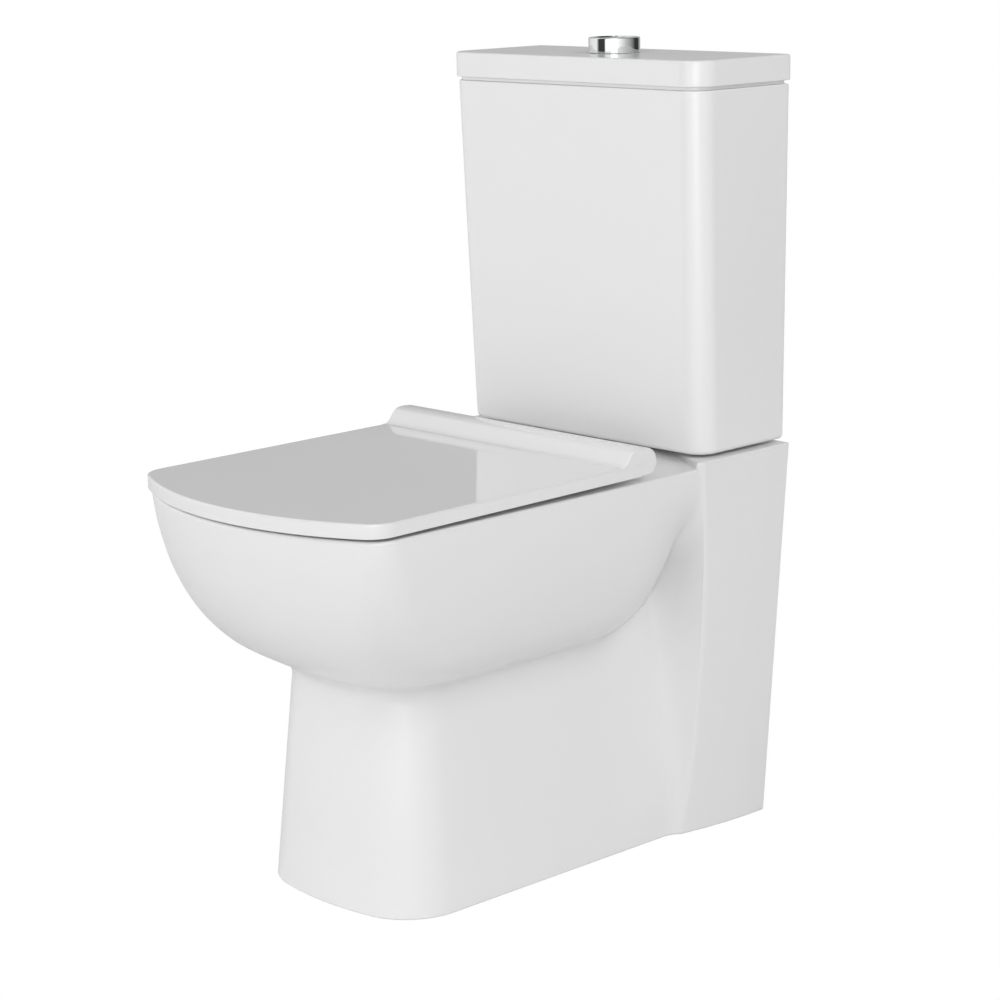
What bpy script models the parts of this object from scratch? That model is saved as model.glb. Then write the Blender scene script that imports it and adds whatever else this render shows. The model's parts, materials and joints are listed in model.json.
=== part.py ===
"""Close coupled toilet: ceramic pan and cistern, slim seat and lid, flush and fill valves.

Metres, +Z up. The floor is z = 0, the centre line is x = 0 and the pan faces -Y.
Outlines are drawn as (x, d), where d is the distance from the wall behind the toilet.
"""
import math

import bmesh
import bpy
from mathutils import Matrix, Vector

# ---- driving dimensions ----
DEPTH = 0.620                # wall to the front edge of the seat lid
WALL_Y = DEPTH / 2
GAP = 0.0003                 # clearance between touching pieces

PLATEAU_Z = 0.4138           # shelf that the cistern stands on
PLATEAU_DEPTH = 0.1375
RIM_FRONT_Z = 0.4085         # the rim falls gently towards the hinge deck
RIM_REAR_Z = 0.4065
CASTING = 0.012              # thickness of the fired ceramic

CISTERN_FLOOR_Z = 0.4170
CISTERN_TOP_Z = 0.7865
CISTERN_WALL = 0.008
COVER_EDGE_Z = 0.7912        # lower edge of the cistern lid
COVER_TOP_Z = 0.8163
COVER_HALF = 0.180
COVER_DEPTH = 0.1443

VALVE_D = 0.072              # flush valve, button and pan inlet share this axis
BUTTON_RADIUS = 0.027
BUTTON_TOP_Z = 0.8325
COUPLING_X = 0.080
FILL_X = -0.130
FILL_D = 0.065

STEM_X = 0.009               # push stems of the two button halves, beside the valve axis
STEM_SIDE = 0.0072
ROCKER_Z = 0.7080
PIVOT_X = 0.008              # rocker pins, beside the valve axis
LEVER_Z = 0.7265             # pin of the fill valve's lever
LEVER_REACH = 0.0230

HINGE_D = 0.214
HINGE_Z = 0.427
HINGE_X = 0.0775
SEAT_LID_TOP_Z = 0.4259
SEAT_LID_EDGE_Z = 0.4132
SEAT_LID_HALF = 0.1757
RING_TOP_Z = 0.4198
RING_BOTTOM_Z = 0.4123
LID_SKIN_Z = SEAT_LID_TOP_Z - 0.0036     # underside of the seat lid's top skin

SHELF_UNDER_Z = 0.388        # underside of the deck and of the cistern shelf
STEPS = 24                   # facets round a turned piece

# Bowl and pedestal: height, half width, front distance, corner radius.
PAN_LEVELS = [
    (0.000, 0.1185, 0.5070, 0.066),
    (0.110, 0.1080, 0.4975, 0.062),
    (0.205, 0.0995, 0.4890, 0.058),
    (0.221, 0.0990, 0.4885, 0.058),
    (0.230, 0.1045, 0.4955, 0.060),
    (0.241, 0.1220, 0.5165, 0.066),
    (0.259, 0.1420, 0.5460, 0.071),
    (0.290, 0.1568, 0.5755, 0.067),
    (0.330, 0.1672, 0.5975, 0.055),
    (0.375, 0.1733, 0.6110, 0.040),
    (0.414, 0.1753, 0.6170, 0.032),
]
FRONT_RADIUS = 0.330

# Inside of the bowl: height, half width, front and rear distance, squareness.
BOWL_LEVELS = [
    (0.070, 0.026, 0.392, 0.348, 2.0),
    (0.086, 0.041, 0.406, 0.334, 2.0),
    (0.150, 0.048, 0.422, 0.322, 2.2),
    (0.220, 0.066, 0.462, 0.292, 2.4),
    (0.290, 0.108, 0.536, 0.262, 2.8),
    (0.350, 0.134, 0.580, 0.247, 3.0),
    (0.380, 0.136, 0.584, 0.246, 3.0),
    (0.388, 0.118, 0.566, 0.264, 3.0),
    (0.430, 0.118, 0.566, 0.264, 3.0),
]
BOWL_WALL_LEVELS = 7         # levels below the narrower rim opening
HOLLOW_LEVELS = [-0.02, 0.05, 0.12, 0.205, 0.232, 0.262, 0.290, 0.330]

# Centre line of the trap from the sump to the outlet: distance from the wall, height.
TRAP_PATH = [
    (0.375, 0.106), (0.330, 0.106), (0.288, 0.138), (0.248, 0.200),
    (0.205, 0.232), (0.160, 0.222), (0.120, 0.190), (0.090, 0.190), (0.060, 0.190),
]
TRAP_BORE = 0.038
TRAP_OUTER = 0.0475

DUCT_FLOOR_Z = 0.330         # flush water runs from the inlet shaft forward to the bowl
DUCT_RADIUS = 0.064
DUCT_HALF = 0.044
INLET_BORE = 0.030


# ---- scene and materials ----
def clear_scene():
    for obj in list(bpy.data.objects):
        bpy.data.objects.remove(obj, do_unlink=True)


def new_collection(name):
    collection = bpy.data.collections.new(name)
    bpy.context.scene.collection.children.link(collection)
    return collection


def principled(name, colour, roughness, metallic=0.0):
    material = bpy.data.materials.new(name)
    material.use_nodes = True
    shader = material.node_tree.nodes["Principled BSDF"]
    shader.inputs["Base Color"].default_value = (*colour, 1.0)
    shader.inputs["Roughness"].default_value = roughness
    shader.inputs["Metallic"].default_value = metallic
    material.diffuse_color = (*colour, 1.0)
    return material


clear_scene()
PARTS = new_collection("close_coupled_toilet")
CUTTERS = new_collection("cutters")

CERAMIC = principled("white glazed ceramic", (0.86, 0.86, 0.85), 0.08)
SEAT_PLASTIC = principled("white thermoset plastic", (0.84, 0.84, 0.84), 0.06)
CHROME = principled("chrome plate", (0.75, 0.76, 0.77), 0.05, 1.0)
VALVE_PLASTIC = principled("white acetal", (0.80, 0.80, 0.78), 0.45)
GREY_PLASTIC = principled("grey polypropylene", (0.42, 0.44, 0.46), 0.50)
RUBBER = principled("black rubber", (0.03, 0.03, 0.03), 0.80)
CLEAR_RUBBER = principled("translucent buffer rubber", (0.75, 0.75, 0.73), 0.50)
STEEL = principled("stainless steel", (0.60, 0.60, 0.60), 0.30, 1.0)
SPONGE = principled("black sponge rubber", (0.05, 0.05, 0.05), 0.95)


# ---- shared builders ----
def place(x, d, z):
    """World position of a point given by its distance from the wall."""
    return Vector((x, WALL_Y - d, z))


def add(name, mesh, material):
    obj = bpy.data.objects.new(name, mesh)
    if material is None:
        CUTTERS.objects.link(obj)
        obj.hide_render = True
        obj.display_type = "WIRE"
    else:
        PARTS.objects.link(obj)
        obj.data.materials.append(material)
    return obj


def to_mesh(name, bm):
    bmesh.ops.recalc_face_normals(bm, faces=bm.faces)
    mesh = bpy.data.meshes.new(name)
    bm.to_mesh(mesh)
    bm.free()
    return mesh


def smooth(obj, degrees=35):
    obj.data.shade_smooth()
    obj.data.set_sharp_from_angle(angle=math.radians(degrees))
    return obj


def loft(name, loops, material=None):
    """Closed solid through loops of equal count, capped at both ends."""
    bm = bmesh.new()
    rings = [[bm.verts.new(point) for point in loop] for loop in loops]
    count = len(rings[0])
    for lower, upper in zip(rings, rings[1:]):
        for i in range(count):
            j = (i + 1) % count
            bm.faces.new((lower[i], lower[j], upper[j], upper[i]))
    bm.faces.new(rings[0][::-1])
    bm.faces.new(rings[-1])
    return smooth(add(name, to_mesh(name, bm), material))


def box(name, low, high, material=None):
    """Box between two corners given as (x, d, z)."""
    bm = bmesh.new()
    bmesh.ops.create_cube(bm, size=1.0)
    a, b = place(*low), place(*high)
    size = Vector([abs(b[i] - a[i]) for i in range(3)])
    bmesh.ops.scale(bm, vec=size, verts=bm.verts)
    bmesh.ops.translate(bm, vec=(a + b) / 2, verts=bm.verts)
    return add(name, to_mesh(name, bm), material)


def rod(name, start, end, radius, material=None, steps=STEPS):
    """Cylinder between two points given as (x, d, z)."""
    a, b = place(*start), place(*end)
    bm = bmesh.new()
    bmesh.ops.create_cone(bm, cap_ends=True, segments=steps, radius1=radius, radius2=radius,
                          depth=(b - a).length)
    turn = Vector((0, 0, 1)).rotation_difference(b - a).to_matrix().to_4x4()
    bmesh.ops.transform(bm, matrix=Matrix.Translation((a + b) / 2) @ turn, verts=bm.verts)
    return smooth(add(name, to_mesh(name, bm), material))


def turned(name, profile, x, d, material=None, ring=False, steps=STEPS):
    """Turned piece about a vertical axis. The (radius, z) profile runs down its outer side."""
    bm = bmesh.new()
    verts = [bm.verts.new((radius, 0.0, z)) for radius, z in profile]
    for a, b in zip(verts, verts[1:]):
        bm.edges.new((a, b))
    if ring:
        bm.edges.new((verts[-1], verts[0]))
    mesh = bpy.data.meshes.new(name)
    bm.to_mesh(mesh)
    bm.free()
    obj = add(name, mesh, material)
    obj.location = place(x, d, 0.0)
    screw = obj.modifiers.new("turn", "SCREW")
    screw.axis = "Z"
    screw.steps = steps
    screw.render_steps = steps
    screw.use_merge_vertices = True
    screw.merge_threshold = 0.00001
    screw.use_smooth_shade = True
    return obj


def tube_ring(outer, inner, low, high):
    """Profile of a plain ring for turned()."""
    return [(outer, high), (outer, low), (inner, low), (inner, high)]


def combine(target, other, operation="DIFFERENCE"):
    """Boolean with the exact solver, kept as a modifier."""
    cut = target.modifiers.new(operation.lower() + " " + other.name, "BOOLEAN")
    cut.operation = operation
    cut.solver = "EXACT"
    cut.object = other
    return target


def piped(name, path, radius, material=None, order=3):
    """Round bar along a smooth path of (x, d, z) points, as a closed mesh."""
    curve = bpy.data.curves.new(name, "CURVE")
    curve.dimensions = "3D"
    curve.bevel_depth = radius
    curve.bevel_resolution = 6 if order > 2 else 2
    curve.use_fill_caps = True
    curve.resolution_u = 4
    spline = curve.splines.new("NURBS" if order > 2 else "POLY")
    spline.points.add(len(path) - 1)
    for point, where in zip(spline.points, path):
        point.co = (*place(*where), 1.0)
    if order > 2:
        spline.order_u = order
        spline.use_endpoint_u = True
    guide = bpy.data.objects.new(name + " guide", curve)
    CUTTERS.objects.link(guide)
    shape = guide.evaluated_get(bpy.context.evaluated_depsgraph_get())
    mesh = bpy.data.meshes.new_from_object(shape)
    bpy.data.objects.remove(guide)
    bm = bmesh.new()
    bm.from_mesh(mesh)
    bmesh.ops.remove_doubles(bm, verts=bm.verts, dist=0.000001)
    return smooth(add(name, to_mesh(name, bm), material))


# ---- outlines, as (x, d) points ----
def arc(cx, cd, radius, start, end, count):
    """Arc about (cx, cd). The angle is measured from the +d direction towards +x."""
    points = []
    for i in range(count):
        angle = math.radians(start + (end - start) * i / (count - 1))
        points.append((cx + radius * math.sin(angle), cd + radius * math.cos(angle)))
    return points


def d_front(half, front, corner, front_radius=FRONT_RADIUS):
    """Right half of a D-shaped front: shallow arc, then a corner that ends square to the side."""
    centre = front - front_radius
    reach = math.sqrt((front_radius - corner) ** 2 - (half - corner) ** 2)
    turn = math.degrees(math.atan2(half - corner, reach))
    return (arc(0.0, centre, front_radius, 0.0, turn, 5)[:-1]
            + arc(half - corner, centre + reach, corner, turn, 90.0, 7))


def mirrored(right):
    """Whole outline from its right half, which starts at the front centre."""
    left = [(-x, d) for x, d in reversed(right) if x > 1e-6]
    return right + left


def at_height(outline, z):
    return [place(x, d, z) for x, d in outline]


def d_outline(half, front, corner, rear, rear_corner=0.002, front_radius=FRONT_RADIUS):
    """D-shaped front with straight sides and a square back at the distance rear."""
    right = d_front(half, front, corner, front_radius)
    right += arc(half - rear_corner, rear + rear_corner, rear_corner, 90.0, 180.0, 4)
    return mirrored(right)


def rounded_box(half, depth, corner, back=0.0, back_corner=0.004):
    """Outline of the cistern: round front corners, nearly sharp back corners."""
    right = [(0.0, depth)]
    right += arc(half - corner, depth - corner, corner, 0.0, 90.0, 7)
    right += arc(half - back_corner, back + back_corner, back_corner, 90.0, 180.0, 3)
    return mirrored(right)


def superellipse(half, front, rear, power, count=28):
    middle, reach = (front + rear) / 2, (front - rear) / 2
    points = []
    for i in range(count):
        angle = 2 * math.pi * i / count
        s, c = math.sin(angle), math.cos(angle)
        points.append((half * math.copysign(abs(s) ** (2 / power), s),
                       middle + reach * math.copysign(abs(c) ** (2 / power), c)))
    return points


def between(table, z):
    """Row of a table of levels at the height z."""
    for lower, upper in zip(table, table[1:]):
        if z <= upper[0]:
            t = max(0.0, (z - lower[0]) / (upper[0] - lower[0]))
            return [a + (b - a) * t for a, b in zip(lower, upper)]
    return list(table[-1])


# ---- pan ----
def underside_rise(d, z):
    """How far the bowl's underside lifts as it runs back into the rear column."""
    near = max(0.0, 0.215 - d) / 0.106
    below_rim = min(1.0, max(0.0, (0.400 - z) / 0.070))
    return 0.128 * near ** 2 * below_rim


def column_half(z, d):
    """Half width of the rear column: it tapers to the floor and bows in towards the front."""
    upward = z / PLATEAU_Z
    return 0.1463 + 0.0327 * upward - 0.0128 * (1.0 - upward) * (d / 0.120) ** 2


def column_front(z):
    """Distance from the wall of the column's front edge."""
    return 0.112 + 0.008 * max(0.0, 1 - z / 0.1) ** 2 + 0.023 * max(0.0, z / PLATEAU_Z - 0.45) ** 2 / 0.3


def pan_outline(z, inset=0.0):
    """Outline of the pan at a height: front and sides of the bowl or pedestal, then the column."""
    _, half, front, corner = between(PAN_LEVELS, z)
    right = d_front(half - inset, front - inset, corner - inset, FRONT_RADIUS - inset)
    edge = column_front(z)
    side_start = right[-1][1]
    side_end = max(0.138, edge + 0.0055)
    flare = 0.007 * max(0.0, 1.0 - z / 0.3)
    for t in (0.25, 0.45, 0.60, 0.72, 0.82, 0.91, 1.0):
        d = side_start + (side_end - side_start) * t
        local = between(PAN_LEVELS, max(0.0, z - underside_rise(d, z)))[1]
        right.append((local + flare * t - inset, d))
    right.append((column_half(z, edge) - 0.004 - inset, edge + 0.004 - inset))
    right.append((column_half(z, edge) - inset, edge - inset))
    right.append((column_half(z, 0.055) - inset, 0.055))
    right.append((column_half(z, 0.0) - inset, 0.0))
    return mirrored(right)


def pan_shell(name, levels, inset, material=None, back=0.0):
    loops = []
    for z in levels:
        outline = [(x, d if d > 0.0001 else -back) for x, d in pan_outline(max(z, 0.0), inset)]
        loops.append(at_height(outline, z))
    return loft(name, loops, material)


def bowl_inside(name):
    """Inside of the bowl with its narrower rim opening."""
    return loft(name, [at_height(superellipse(half, front, rear, power), z)
                       for z, half, front, rear, power in BOWL_LEVELS])


def bowl_outside(name, grow, material=None):
    """Inside of the bowl grown by a wall, running straight up to the deck."""
    loops = []
    for z, half, front, rear, power in BOWL_LEVELS[:BOWL_WALL_LEVELS]:
        outline = superellipse(half + grow, front + grow, rear - grow, power)
        loops.append(at_height(outline, z - grow))
    loops.append(at_height(outline, PLATEAU_Z))
    return loft(name, loops, material)


def trap_bore(name):
    """Waterway of the trap, from inside the sump to past the outlet's mouth."""
    path = [(0.385, 0.112)] + TRAP_PATH[1:] + [(0.030, TRAP_PATH[-1][1])]
    return piped(name, [(0.0, d, z) for d, z in path], TRAP_BORE)


def inlet_duct(name, radius, half, low, high, floor, rear, front, material=None):
    """Round shaft under the cistern joined to a box channel that runs forward to the bowl."""
    shaft = rod(name, (0, VALVE_D, floor), (0, VALVE_D, high), radius, material)
    channel = box(name + "_channel", (-half, rear, floor), (half, front, low))
    return combine(shaft, channel, "UNION")


def duct_bore(name):
    """Waterway of the flush duct, from above the shelf to inside the bowl."""
    return inlet_duct(name, INLET_BORE, 0.028, 0.384, 0.45, DUCT_FLOOR_Z + 0.014, VALVE_D, 0.275)


def make_pan():
    """Outside of the casting: column, pedestal, bowl sides and deck, open below and behind."""
    levels = [row[0] for row in PAN_LEVELS[:-1]] + [0.398, PLATEAU_Z]
    pan = pan_shell("pan", levels, 0.0, CERAMIC)

    rim_cut = box("rim_cut", (-0.3, PLATEAU_DEPTH, 0.45), (0.3, 0.70, 0.50))
    for vert in rim_cut.data.vertices:
        if vert.co.z < 0.46:
            vert.co.z = rim_height(WALL_Y - vert.co.y)
    combine(pan, rim_cut)

    combine(pan, pan_shell("pan_hollow", HOLLOW_LEVELS + [SHELF_UNDER_Z], CASTING, back=0.03))
    combine(pan, bowl_inside("rim_opening"))
    combine(pan, rod("inlet_hole", (0, VALVE_D, 0.37), (0, VALVE_D, 0.45), INLET_BORE))
    combine(pan, rod("inlet_recess", (0, VALVE_D, 0.392), (0, VALVE_D, 0.45), 0.051))
    for side, x in (("left", -1), ("right", 1)):
        combine(pan, rod("coupling_hole_" + side, (x * COUPLING_X, VALVE_D, 0.37),
                         (x * COUPLING_X, VALVE_D, 0.43), 0.006, steps=20))
        combine(pan, rod("seat_hole_" + side, (x * HINGE_X, HINGE_D, 0.37),
                         (x * HINGE_X, HINGE_D, 0.43), 0.007, steps=20))
    combine(pan, rod("fill_opening", (FILL_X, FILL_D, 0.37), (FILL_X, FILL_D, 0.43), 0.023))


def make_pan_inside():
    """Bowl, trap and flush duct: cast with the pan, drawn as solids of their own."""
    bowl = bowl_outside("pan_bowl", CASTING, CERAMIC)
    limit = pan_shell("bowl_limit", HOLLOW_LEVELS + [SHELF_UNDER_Z - GAP], CASTING + 0.0010)
    combine(bowl, limit, "INTERSECT")
    combine(bowl, bowl_inside("bowl_space"))
    combine(bowl, trap_bore("sump_hole"))
    combine(bowl, duct_bore("flush_hole"))

    trap = piped("pan_trapway", [(0.0, d, z) for d, z in TRAP_PATH], TRAP_OUTER, CERAMIC)
    combine(trap, trap_bore("trap_waterway"))
    combine(trap, bowl_outside("trap_clearance", CASTING + GAP))

    top = SHELF_UNDER_Z - GAP
    duct = inlet_duct("pan_flush_duct", DUCT_RADIUS, DUCT_HALF, top, top, DUCT_FLOOR_Z,
                      0.050, 0.262, CERAMIC)
    combine(duct, duct_bore("duct_waterway"))
    combine(duct, bowl_outside("duct_clearance", CASTING + GAP))


# ---- cistern and its lid ----
def cistern_section(z, inset):
    """Cistern outline at a height: it is narrower and shallower at the foot."""
    upward = (z - CISTERN_FLOOR_Z) / (CISTERN_TOP_Z - CISTERN_FLOOR_Z)
    half = 0.172 + 0.0055 * upward
    depth = 0.1296 + 0.0125 * upward
    corner = 0.025 - min(inset, 0.010)
    return rounded_box(half - inset, depth - inset, corner, back=inset,
                       back_corner=max(0.0015, 0.004 - inset))


def make_cistern():
    outer = [(CISTERN_FLOOR_Z, 0.004), (CISTERN_FLOOR_Z + 0.0012, 0.0012),
             (CISTERN_FLOOR_Z + 0.004, 0.0), (CISTERN_TOP_Z - 0.002, 0.0),
             (CISTERN_TOP_Z, 0.0015)]
    body = loft("cistern_body", [at_height(cistern_section(z, inset), z) for z, inset in outer],
                CERAMIC)
    inner = [(CISTERN_FLOOR_Z + 0.012, CISTERN_WALL + 0.004),
             (CISTERN_FLOOR_Z + 0.018, CISTERN_WALL), (CISTERN_TOP_Z + 0.02, CISTERN_WALL)]
    combine(body, loft("cistern_inside",
                       [at_height(cistern_section(z, inset), z) for z, inset in inner]))
    holes = [("outlet", 0.0, VALVE_D, 0.030), ("bolt_left", -COUPLING_X, VALVE_D, 0.006),
             ("bolt_right", COUPLING_X, VALVE_D, 0.006), ("fill", FILL_X, FILL_D, 0.011)]
    for name, x, d, radius in holes:
        combine(body, rod("cistern_hole_" + name, (x, d, 0.40), (x, d, 0.45), radius, steps=24))
    return body


def cover_section(inset):
    return rounded_box(COVER_HALF - inset, COVER_DEPTH - inset, 0.027 - min(inset, 0.012),
                       back=inset, back_corner=max(0.002, 0.005 - inset))


def make_cistern_lid():
    seat = CISTERN_TOP_Z + GAP
    levels = [(seat, 0.005), (COVER_EDGE_Z - 0.0004, 0.005), (COVER_EDGE_Z, 0.0006),
              (COVER_EDGE_Z + 0.001, 0.0), (COVER_TOP_Z - 0.003, 0.0),
              (COVER_TOP_Z - 0.0009, 0.0009), (COVER_TOP_Z, 0.003)]
    lid = loft("cistern_lid", [at_height(cover_section(inset), z) for z, inset in levels], CERAMIC)
    hollow = [(seat - 0.02, 0.016), (COVER_TOP_Z - 0.0105, 0.016)]
    combine(lid, loft("lid_hollow", [at_height(cover_section(inset), z) for z, inset in hollow]))
    combine(lid, rod("button_hole", (0, VALVE_D, 0.79), (0, VALVE_D, 0.83), 0.020))
    return lid


# ---- seat, its lid and hinge ----
HUMP_PROFILE = [
    (0.2560, 0.4160), (0.2560, 0.4250), (0.2515, 0.4257), (0.2460, 0.4290), (0.2385, 0.4378),
    (0.2335, 0.4410), (0.2260, 0.4422), (0.2140, 0.4414), (0.2080, 0.4390), (0.2030, 0.4345),
    (0.2004, 0.4280), (0.2010, 0.4220), (0.2045, 0.4165), (0.2090, 0.4140), (0.2140, 0.4136),
]


def lip_drop(d):
    """How much deeper the lid's edge is along its front than along its sides."""
    t = min(1.0, max(0.0, (d - 0.48) / 0.12))
    return 0.0020 * t * t * (3 - 2 * t)


def seat_lid_loops():
    """Lid as a slim slab: a short lower rounding, the side, then a tight turn onto the top."""
    levels = [(SEAT_LID_EDGE_Z, 0.0012, 1.0), (SEAT_LID_EDGE_Z + 0.0012, 0.0, 1.0),
              (SEAT_LID_TOP_Z - 0.0026, 0.0, 0.0), (SEAT_LID_TOP_Z - 0.0008, 0.0008, 0.0),
              (SEAT_LID_TOP_Z, 0.0028, 0.0)]
    loops = []
    for z, inset, lip in levels:
        outline = d_outline(SEAT_LID_HALF - inset, DEPTH - inset, 0.030 - inset, 0.222,
                            front_radius=FRONT_RADIUS - inset)
        loops.append([place(x, d, z - lip * lip_drop(d)) for x, d in outline])
    return loops


def along_x(name, profile, low, high, material=None):
    """Solid with a (d, z) profile, drawn out along X."""
    return loft(name, [[place(x, d, z) for d, z in profile] for x in (low, high)], material)


def make_seat_lid():
    lid = loft("seat_lid", seat_lid_loops(), SEAT_PLASTIC)
    combine(lid, along_x("lid_hump", HUMP_PROFILE, -SEAT_LID_HALF, SEAT_LID_HALF), "UNION")
    under = [(0.40, 0.005), (LID_SKIN_Z, 0.005)]
    combine(lid, loft("lid_under", [at_height(
        d_outline(SEAT_LID_HALF - inset, DEPTH - inset, 0.025, 0.2445,
                  front_radius=FRONT_RADIUS - inset), z) for z, inset in under]))
    pocket = [(0.2370, 0.400), (0.2370, 0.4310), (0.2290, 0.4385), (0.1900, 0.4385), (0.1900, 0.400)]
    for side, x in (("left", -1), ("right", 1)):
        low, high = sorted((x * 0.037, x * 0.095))
        combine(lid, along_x("hump_pocket_" + side, pocket, low, high))
        combine(lid, rod("hump_bore_" + side, (x * 0.090, HINGE_D, HINGE_Z),
                         (x * 0.1083, HINGE_D, HINGE_Z), 0.0048, steps=16))
        low, high = sorted((x * 0.038, x * 0.062))
        arm_slot = [(0.2600, 0.400), (0.2600, LID_SKIN_Z), (0.2360, 0.4275), (0.2360, 0.400)]
        combine(lid, along_x("arm_slot_" + side, arm_slot, low, high))
    return lid


def make_seat_ring():
    levels = [(RING_BOTTOM_Z, 0.002), (RING_BOTTOM_Z + 0.002, 0.0), (RING_TOP_Z - 0.0025, 0.0),
              (RING_TOP_Z, 0.0035)]
    half, front = SEAT_LID_HALF - 0.0075, DEPTH - 0.0075
    ring = loft("seat_ring", [at_height(
        d_outline(half - inset, front - inset, 0.024 - inset, 0.2490 + inset, rear_corner=0.010,
                  front_radius=FRONT_RADIUS - 0.0075 - inset), z) for z, inset in levels],
        SEAT_PLASTIC)
    hole = [(0.40, 0.003), (RING_BOTTOM_Z + 0.003, 0.0), (RING_TOP_Z - 0.004, 0.0),
            (RING_TOP_Z, 0.004), (0.43, 0.014)]
    combine(ring, loft("ring_hole", [at_height(
        superellipse(0.105 + grow, 0.545 + grow, 0.282 - grow, 2.7, 36), z) for z, grow in hole]))
    for side, x in (("left", -1), ("right", 1)):
        low, high = sorted((x * 0.0405, x * 0.0585))
        arm = [(0.2550, RING_BOTTOM_Z), (0.2550, RING_TOP_Z - 0.001), (0.2300, RING_TOP_Z - 0.001),
               (0.2200, 0.4330), (0.2120, 0.4335), (0.2070, 0.4300), (0.2060, 0.4240),
               (0.2100, 0.4190), (0.2160, 0.4175), (0.2260, RING_BOTTOM_Z)]
        combine(ring, along_x("ring_arm_" + side, arm, low, high), "UNION")
        combine(ring, rod("ring_bore_" + side, (x * 0.035, HINGE_D, HINGE_Z),
                          (x * 0.065, HINGE_D, HINGE_Z), 0.0038, steps=16))
    return ring


def make_hinge(side, x):
    """Post on the deck, damper pin across it, and the stud, seal and wing nut below the deck."""
    deck = rim_height(HINGE_D)
    post = turned("hinge_post_" + side,
                  [(0.0, deck + 0.0035), (0.0125, deck + 0.0035), (0.0130, deck + 0.0030),
                   (0.0130, deck + GAP), (0.0, deck + GAP)], x * HINGE_X, HINGE_D, CHROME)
    low, high = sorted((x * 0.0600, x * 0.0935))
    barrel = [(HINGE_D + 0.0085 * math.cos(a), HINGE_Z + 0.0085 * math.sin(a))
              for a in (math.radians(180 * i / 8) for i in range(9))]
    neck = barrel + [(HINGE_D - 0.0085, deck + 0.002), (HINGE_D + 0.0085, deck + 0.002)]
    combine(post, along_x("hinge_neck_" + side, neck, low, high), "UNION")
    combine(post, rod("hinge_bore_" + side, (x * 0.055, HINGE_D, HINGE_Z),
                      (x * 0.10, HINGE_D, HINGE_Z), 0.0048, steps=16))
    combine(post, rod("stud_socket_" + side, (x * HINGE_X, HINGE_D, 0.40),
                      (x * HINGE_X, HINGE_D, deck + 0.0090), 0.0043, steps=16))

    damper = rod("hinge_damper_" + side, (x * 0.0600, HINGE_D, HINGE_Z),
                 (x * 0.1080, HINGE_D, HINGE_Z), 0.0045, GREY_PLASTIC, steps=16)
    pin = rod("damper_pin_" + side, (x * 0.0400, HINGE_D, HINGE_Z),
              (x * 0.0620, HINGE_D, HINGE_Z), 0.0035, steps=16)
    combine(damper, pin, "UNION")

    rod("seat_stud_" + side, (x * HINGE_X, HINGE_D, 0.345),
        (x * HINGE_X, HINGE_D, deck + 0.0085), 0.0040, STEEL, steps=16)
    turned("seat_stud_seal_" + side,
           tube_ring(0.0130, 0.0043, SHELF_UNDER_Z - 0.0055, SHELF_UNDER_Z - GAP),
           x * HINGE_X, HINGE_D, RUBBER, ring=True, steps=20)
    wing_nut("seat_wingnut_" + side, x * HINGE_X, HINGE_D, SHELF_UNDER_Z - 0.0058, 0.0043)


def wing_nut(name, x, d, top, bore):
    """Plastic wing nut hanging under the face at the height top."""
    nut = turned(name, [(0.0120, top), (0.0120, top - 0.002), (0.0090, top - 0.003),
                        (0.0085, top - 0.012), (bore, top - 0.012), (bore, top)],
                 x, d, VALVE_PLASTIC, ring=True, steps=20)
    for sign in (-1, 1):
        wing = box(name + "_wing" + str(sign + 1), (x - 0.0015, d + sign * 0.0065, top - 0.011),
                   (x + 0.0015, d + sign * 0.0185, top - 0.002))
        combine(nut, wing, "UNION")
    return nut


def rim_height(d):
    return RIM_REAR_Z + (RIM_FRONT_Z - RIM_REAR_Z) * (d - 0.20) / 0.40


def make_buffers():
    """Soft stops: four under the seat ring, two between the ring and the lid."""
    places = [("front_left", -0.138, 0.520), ("front_right", 0.138, 0.520),
              ("rear_left", -0.140, 0.300), ("rear_right", 0.140, 0.300)]
    for name, x, d in places:
        low, top = rim_height(d + 0.008) + GAP, RING_BOTTOM_Z - GAP
        turned("seat_buffer_" + name, [(0.0, top), (0.0075, top), (0.0075, low + 0.0004),
                                       (0.0070, low), (0.0, low)], x, d, CLEAR_RUBBER, steps=20)
    for name, x in (("left", -0.120), ("right", 0.120)):
        low, top = RING_TOP_Z + GAP, LID_SKIN_Z - GAP
        turned("lid_buffer_" + name, [(0.0, top), (0.0065, top), (0.0065, low + 0.0004),
                                      (0.0060, low), (0.0, low)], x, 0.565, CLEAR_RUBBER, steps=20)


# ---- cistern to pan coupling ----
def make_coupling():
    turned("coupling_gasket", [(0.0480, CISTERN_FLOOR_Z - GAP), (0.0495, 0.4050), (0.0480, 0.3923),
                               (0.0390, 0.3923), (0.0390, CISTERN_FLOOR_Z - GAP)],
           0.0, VALVE_D, SPONGE, ring=True)
    floor = CISTERN_FLOOR_Z + 0.012
    for side, x in (("left", -COUPLING_X), ("right", COUPLING_X)):
        turned("coupling_bolt_seal_" + side,
               [(0.0110, floor + 0.0040), (0.0120, floor + GAP), (0.0048, floor + GAP),
                (0.0048, floor + 0.0040)], x, VALVE_D, RUBBER, ring=True, steps=20)
        top = floor + 0.0043
        turned("coupling_bolt_" + side,
               [(0.0, top + 0.0045), (0.0080, top + 0.0045), (0.0090, top + 0.0025), (0.0090, top),
                (0.0040, top), (0.0040, 0.3500), (0.0, 0.3500)], x, VALVE_D, STEEL, steps=20)
        wing_nut("coupling_wingnut_" + side, x, VALVE_D, SHELF_UNDER_Z - GAP, 0.0043)


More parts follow.
